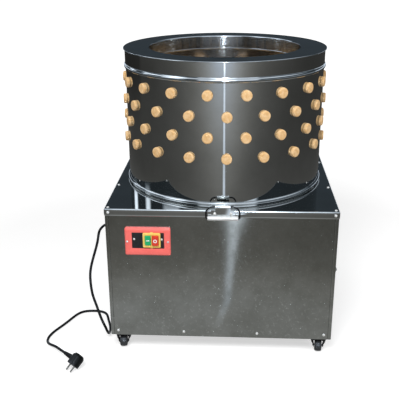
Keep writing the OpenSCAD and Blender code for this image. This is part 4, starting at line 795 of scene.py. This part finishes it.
# lamps are (place, size, watts), aimed at a height on the drum's axis; the floor's lift grows over the fade;
# plain is how much of the white world lights things
studio = {"floor": 14.0, "floorZ": -0.0003, "grey": 0.6, "lift": (0.6, 1.0), "fade": (1.1, 2.6), "plain": 0.2,
          "aim": 0.5, "key": ((-0.7, -2.35, 3.1), 1.8, 112.0), "fill": ((2.2, -1.2, 1.9), 1.6, 34.0)}


def emptyTree(owner):
    owner.use_nodes = True
    owner.node_tree.nodes.clear()
    return owner.node_tree


def seenDirectly(tree):
    # 1 for camera, glossy and transmission rays, 0 for the light that falls on things
    direct, glossy, through = (addNode(tree, "LightPath", out="Is %s Ray" % kind)
                               for kind in ("Camera", "Glossy", "Transmission"))
    seen = addNode(tree, "Math", {0: direct, 1: glossy}, operation="ADD")
    return addNode(tree, "Math", {0: seen, 1: through}, operation="ADD", use_clamp=True)


def addStage(mesh, material, reflectionOnly):
    mesh.materials.append(material)
    panel = bpy.data.objects.new(mesh.name, mesh)
    scene.collection.objects.link(panel)
    if reflectionOnly:
        panel.visible_camera = panel.visible_diffuse = panel.visible_transmission = panel.visible_shadow = False
        panel.visible_volume_scatter = False


floorMaterial = bpy.data.materials.new("white floor")
tree = emptyTree(floorMaterial)
away = addNode(tree, "TexCoord", out="Object")
away = addNode(tree, "VectorMath", {0: away}, out="Value", operation="LENGTH")
(near, far), (low, high), grey = studio["fade"], studio["lift"], studio["grey"]
lift = addNode(tree, "MapRange", {"Value": away},
               {"From Min": near, "From Max": far, "To Min": low, "To Max": high})
lift = addNode(tree, "Math", {0: seenDirectly(tree), 1: lift}, operation="MULTIPLY")
matt = addNode(tree, "BsdfDiffuse", None, {"Color": (grey, grey, grey, 1)})
lifted = addNode(tree, "Emission", {"Strength": lift}, {"Color": (1, 1, 1, 1)})
both = addNode(tree, "AddShader", {0: matt, 1: lifted})
addNode(tree, "OutputMaterial", {"Surface": both})
floorMaterial.cycles.emission_sampling = "NONE"
floorMesh = bpy.data.meshes.new("floor")
s, z = studio["floor"], studio["floorZ"]
floorMesh.from_pydata([(-s, -s, z), (s, -s, z), (s, s, z), (-s, s, z)], [], [(0, 1, 2, 3)])
addStage(floorMesh, floorMaterial, False)

scene.world = bpy.data.worlds.new("studio")
tree = emptyTree(scene.world)
level = addNode(tree, "MapRange", {"Value": seenDirectly(tree)}, {"To Min": studio["plain"], "To Max": 1.0})
sky = addNode(tree, "Background", {"Strength": level}, {"Color": (1, 1, 1, 1)})
addNode(tree, "OutputWorld", {"Surface": sky})


def addLamp(name, place, size, power):
    # a disc facing the aim, which reflections don't see
    lamp = bpy.data.lights.new(name, "AREA")
    lamp.shape, lamp.size, lamp.energy = "DISK", size, power
    lampObject = bpy.data.objects.new(name, lamp)
    scene.collection.objects.link(lampObject)
    matrix = np.eye(4)
    matrix[:3] = np.column_stack([turned(np.array(place) - [0, 0, studio["aim"]])[0], place])
    lampObject.matrix_world = matrix.T.tolist()
    lampObject.visible_glossy = False


for name in ("key", "fill"):
    addLamp(name, *studio[name])

# a dim room that only reflections see: ground, dome and a bright trail give the polished sheet its dark mirror;
# lobes are (turn, half width, level, low, high) and glows (turn, width, elevation, height, level), in degrees
room = {"reach": 6.0, "side": 0.048, "peak": -0.2, "rise": 0.2, "turn": -1.0, "width": (22.0, 5.0),
        "near": 0.35, "flat": 0.68, "fall": 0.4, "lean": 0.3, "leanReach": 0.35, "far": (2.5, 5.0),
        "shade": (0.3, 0.45), "left": (104, 107, 145, 165), "groundZ": 0.0012, "trailZ": 0.002,
        "horizon": 0.068, "sky": 1.1, "bandLow": (0.56, 0.76), "bandHigh": (60, 74), "bandRest": 0.4,
        "groundColour": "#fbfcf9", "domeColour": "#cae2f6", "openSky": "#dce8f8",
        "lobes": ((2.6, 2, 75.0, 10, 17), (6, 33, 1.5, 8, 34), (0, 14, 1.3, 8, 34), (-62, 11, 3.0, 24.3, 55),
                  (-100, 4, 3.0, 22.8, 55), (-131, 5, 3.2, 22.8, 55), (-142, 24, 1.2, 3, 12),
                  (142, 24, 1.2, 3, 12), (-78, 38, 0.6, 3, 12), (78, 38, 0.6, 3, 12)),
        "glows": ((-1, 12, 47, 15, 2.4), (-3, 5, 47, 5, 10.0))}


def attributeGlow(name, colour):
    # an emitter whose strength is the mesh's own mark; its brighter places turn to the blue of open sky
    material = bpy.data.materials.new(name)
    tree = emptyTree(material)
    level = addNode(tree, "Attribute", out="Fac", attribute_name="mark")
    bright = addNode(tree, "MapRange", {"Value": level}, {"From Min": 0.2, "From Max": 0.8})
    plain, blue = linearColour(colour), linearColour(room["openSky"])
    tint = addNode(tree, "Mix", {0: bright}, {6: plain, 7: blue}, out=2, data_type="RGBA")
    light = addNode(tree, "Emission", {"Strength": level, "Color": tint})
    addNode(tree, "OutputMaterial", {"Surface": light})
    material.cycles.emission_sampling = "NONE"
    return material


def roomSurface(name, grid, levels, colour, wraps=True):
    mesh = meshFrom(name, [(grid / mm, False)], 180, closed=False, wrapCols=wraps)
    mesh.attributes["mark"].data.foreach_set("value", levels.ravel())
    addStage(mesh, attributeGlow(name, colour), True)


def groundLevel(x, y):
    # side + (peak + rise r) / (1 + (turn / width) squared) + near (1 - lean x) exp((flat - r) / fall); r is the
    # distance from the drum's axis, no less than flat in the last part, and turn the degrees from the front;
    # far off the width narrows and the side level is shaded, most of all on the left
    r, turn = np.hypot(x, y), np.degrees(np.arctan2(x, -y))
    far, (base, more), (wide, less) = np.interp(r, room["far"], (0, 1)), room["shade"], room["width"]
    spread = 1 + ((turn - room["turn"]) / (wide - less * far)) ** 2
    ahead = np.maximum(room["peak"] + room["rise"] * r, 0) / spread
    lean = 1 - room["lean"] * np.clip(x, -room["leanReach"], room["leanReach"])
    close = room["near"] * lean * np.exp(-np.maximum(r - room["flat"], 0) / room["fall"])
    left = np.interp(-turn, room["left"], (0, 1, 1, 0))
    return room["side"] * (1 - far * (base + more * left)) + ahead + close


def makeRoom():
    # ground in rings; dome at its horizon level, with a bright band from bandLow (sine of the elevation) to
    # bandHigh (degrees); each lobe adds level x a ramp in turn x a ramp in elevation, each glow
    # level x exp(-(turn / width) squared - (elevation / height) squared)
    r = np.concatenate([[0.02], np.linspace(0.3, room["reach"], 60)])[:, None]
    a = np.arange(180)[None] * np.pi / 90
    x, y = r * np.cos(a), r * np.sin(a)
    ground = np.stack([x, y, room["groundZ"] + 0 * x], -1)
    roomSurface("dimGround", ground, groundLevel(x, y), room["groundColour"])
    e = np.radians(np.linspace(0, 90, 121))[:, None]
    dome = np.stack([np.cos(e) * np.cos(a), np.cos(e) * np.sin(a), np.sin(e) + 0 * a], -1) * room["reach"]
    turn, up = np.degrees(np.angle(np.exp(1j * (a + np.pi / 2)))), np.degrees(e)
    band = np.interp(np.sin(e), room["bandLow"], (0, 1))
    band = band * np.interp(up, room["bandHigh"], (1, room["bandRest"]))
    levels = room["horizon"] + room["sky"] * band + 0 * a
    for centre, half, level, low, high in room["lobes"]:
        tall = np.interp(up, (low, low + 1.5, high - 2, high + 4), (0, 1, 1, 0))
        levels = levels + level * tall * np.interp(np.abs(turn - centre), (half - 2, half + 2), (1, 0))
    for centre, wide, height, tall, level in room["glows"]:
        levels = levels + level * np.exp(-((turn - centre) / wide) ** 2 - ((up - height) / tall) ** 2)
    roomSurface("dimDome", dome, levels, room["domeColour"])


# bright trail on the ground: distance to the front, middle, half width in metres and level
trail = np.array([
    (0.45, -0.012, 0.010, 0.0), (0.52, -0.004, 0.012, 0.15), (0.63, 0.016, 0.010, 0.4),
    (0.80, 0.019, 0.011, 0.8), (1.00, 0.024, 0.014, 1.0), (1.30, 0.033, 0.021, 1.6),
    (1.37, 0.036, 0.038, 1.8), (1.60, 0.047, 0.034, 0.9), (4.80, 0.120, 0.066, 1.0),
    (5.20, 0.128, 0.072, 1.8), (5.90, 0.145, 0.078, 1.8)])


def makeTrail():
    # a ribbon round the trail's middle: the ground's level plus the trail's, full inside and none at the edges
    along = np.unique(np.r_[trail[:, 0], np.linspace(trail[0, 0], trail[-1, 0], 80)])[:, None]
    middle, half, level = (np.interp(along, trail[:, 0], trail[:, k]) for k in (1, 2, 3))
    x = middle + half * np.array([-1.3, -0.7, 0, 0.7, 1.3])
    y = 0 * x - along
    levels = groundLevel(x, y) + level * [0, 1, 1, 1, 0]
    ribbon = np.stack([x, y, room["trailZ"] + 0 * x], -1)
    roomSurface("brightTrail", ribbon, levels, room["groundColour"], False)


makeRoom()
makeTrail()
print("studio set")
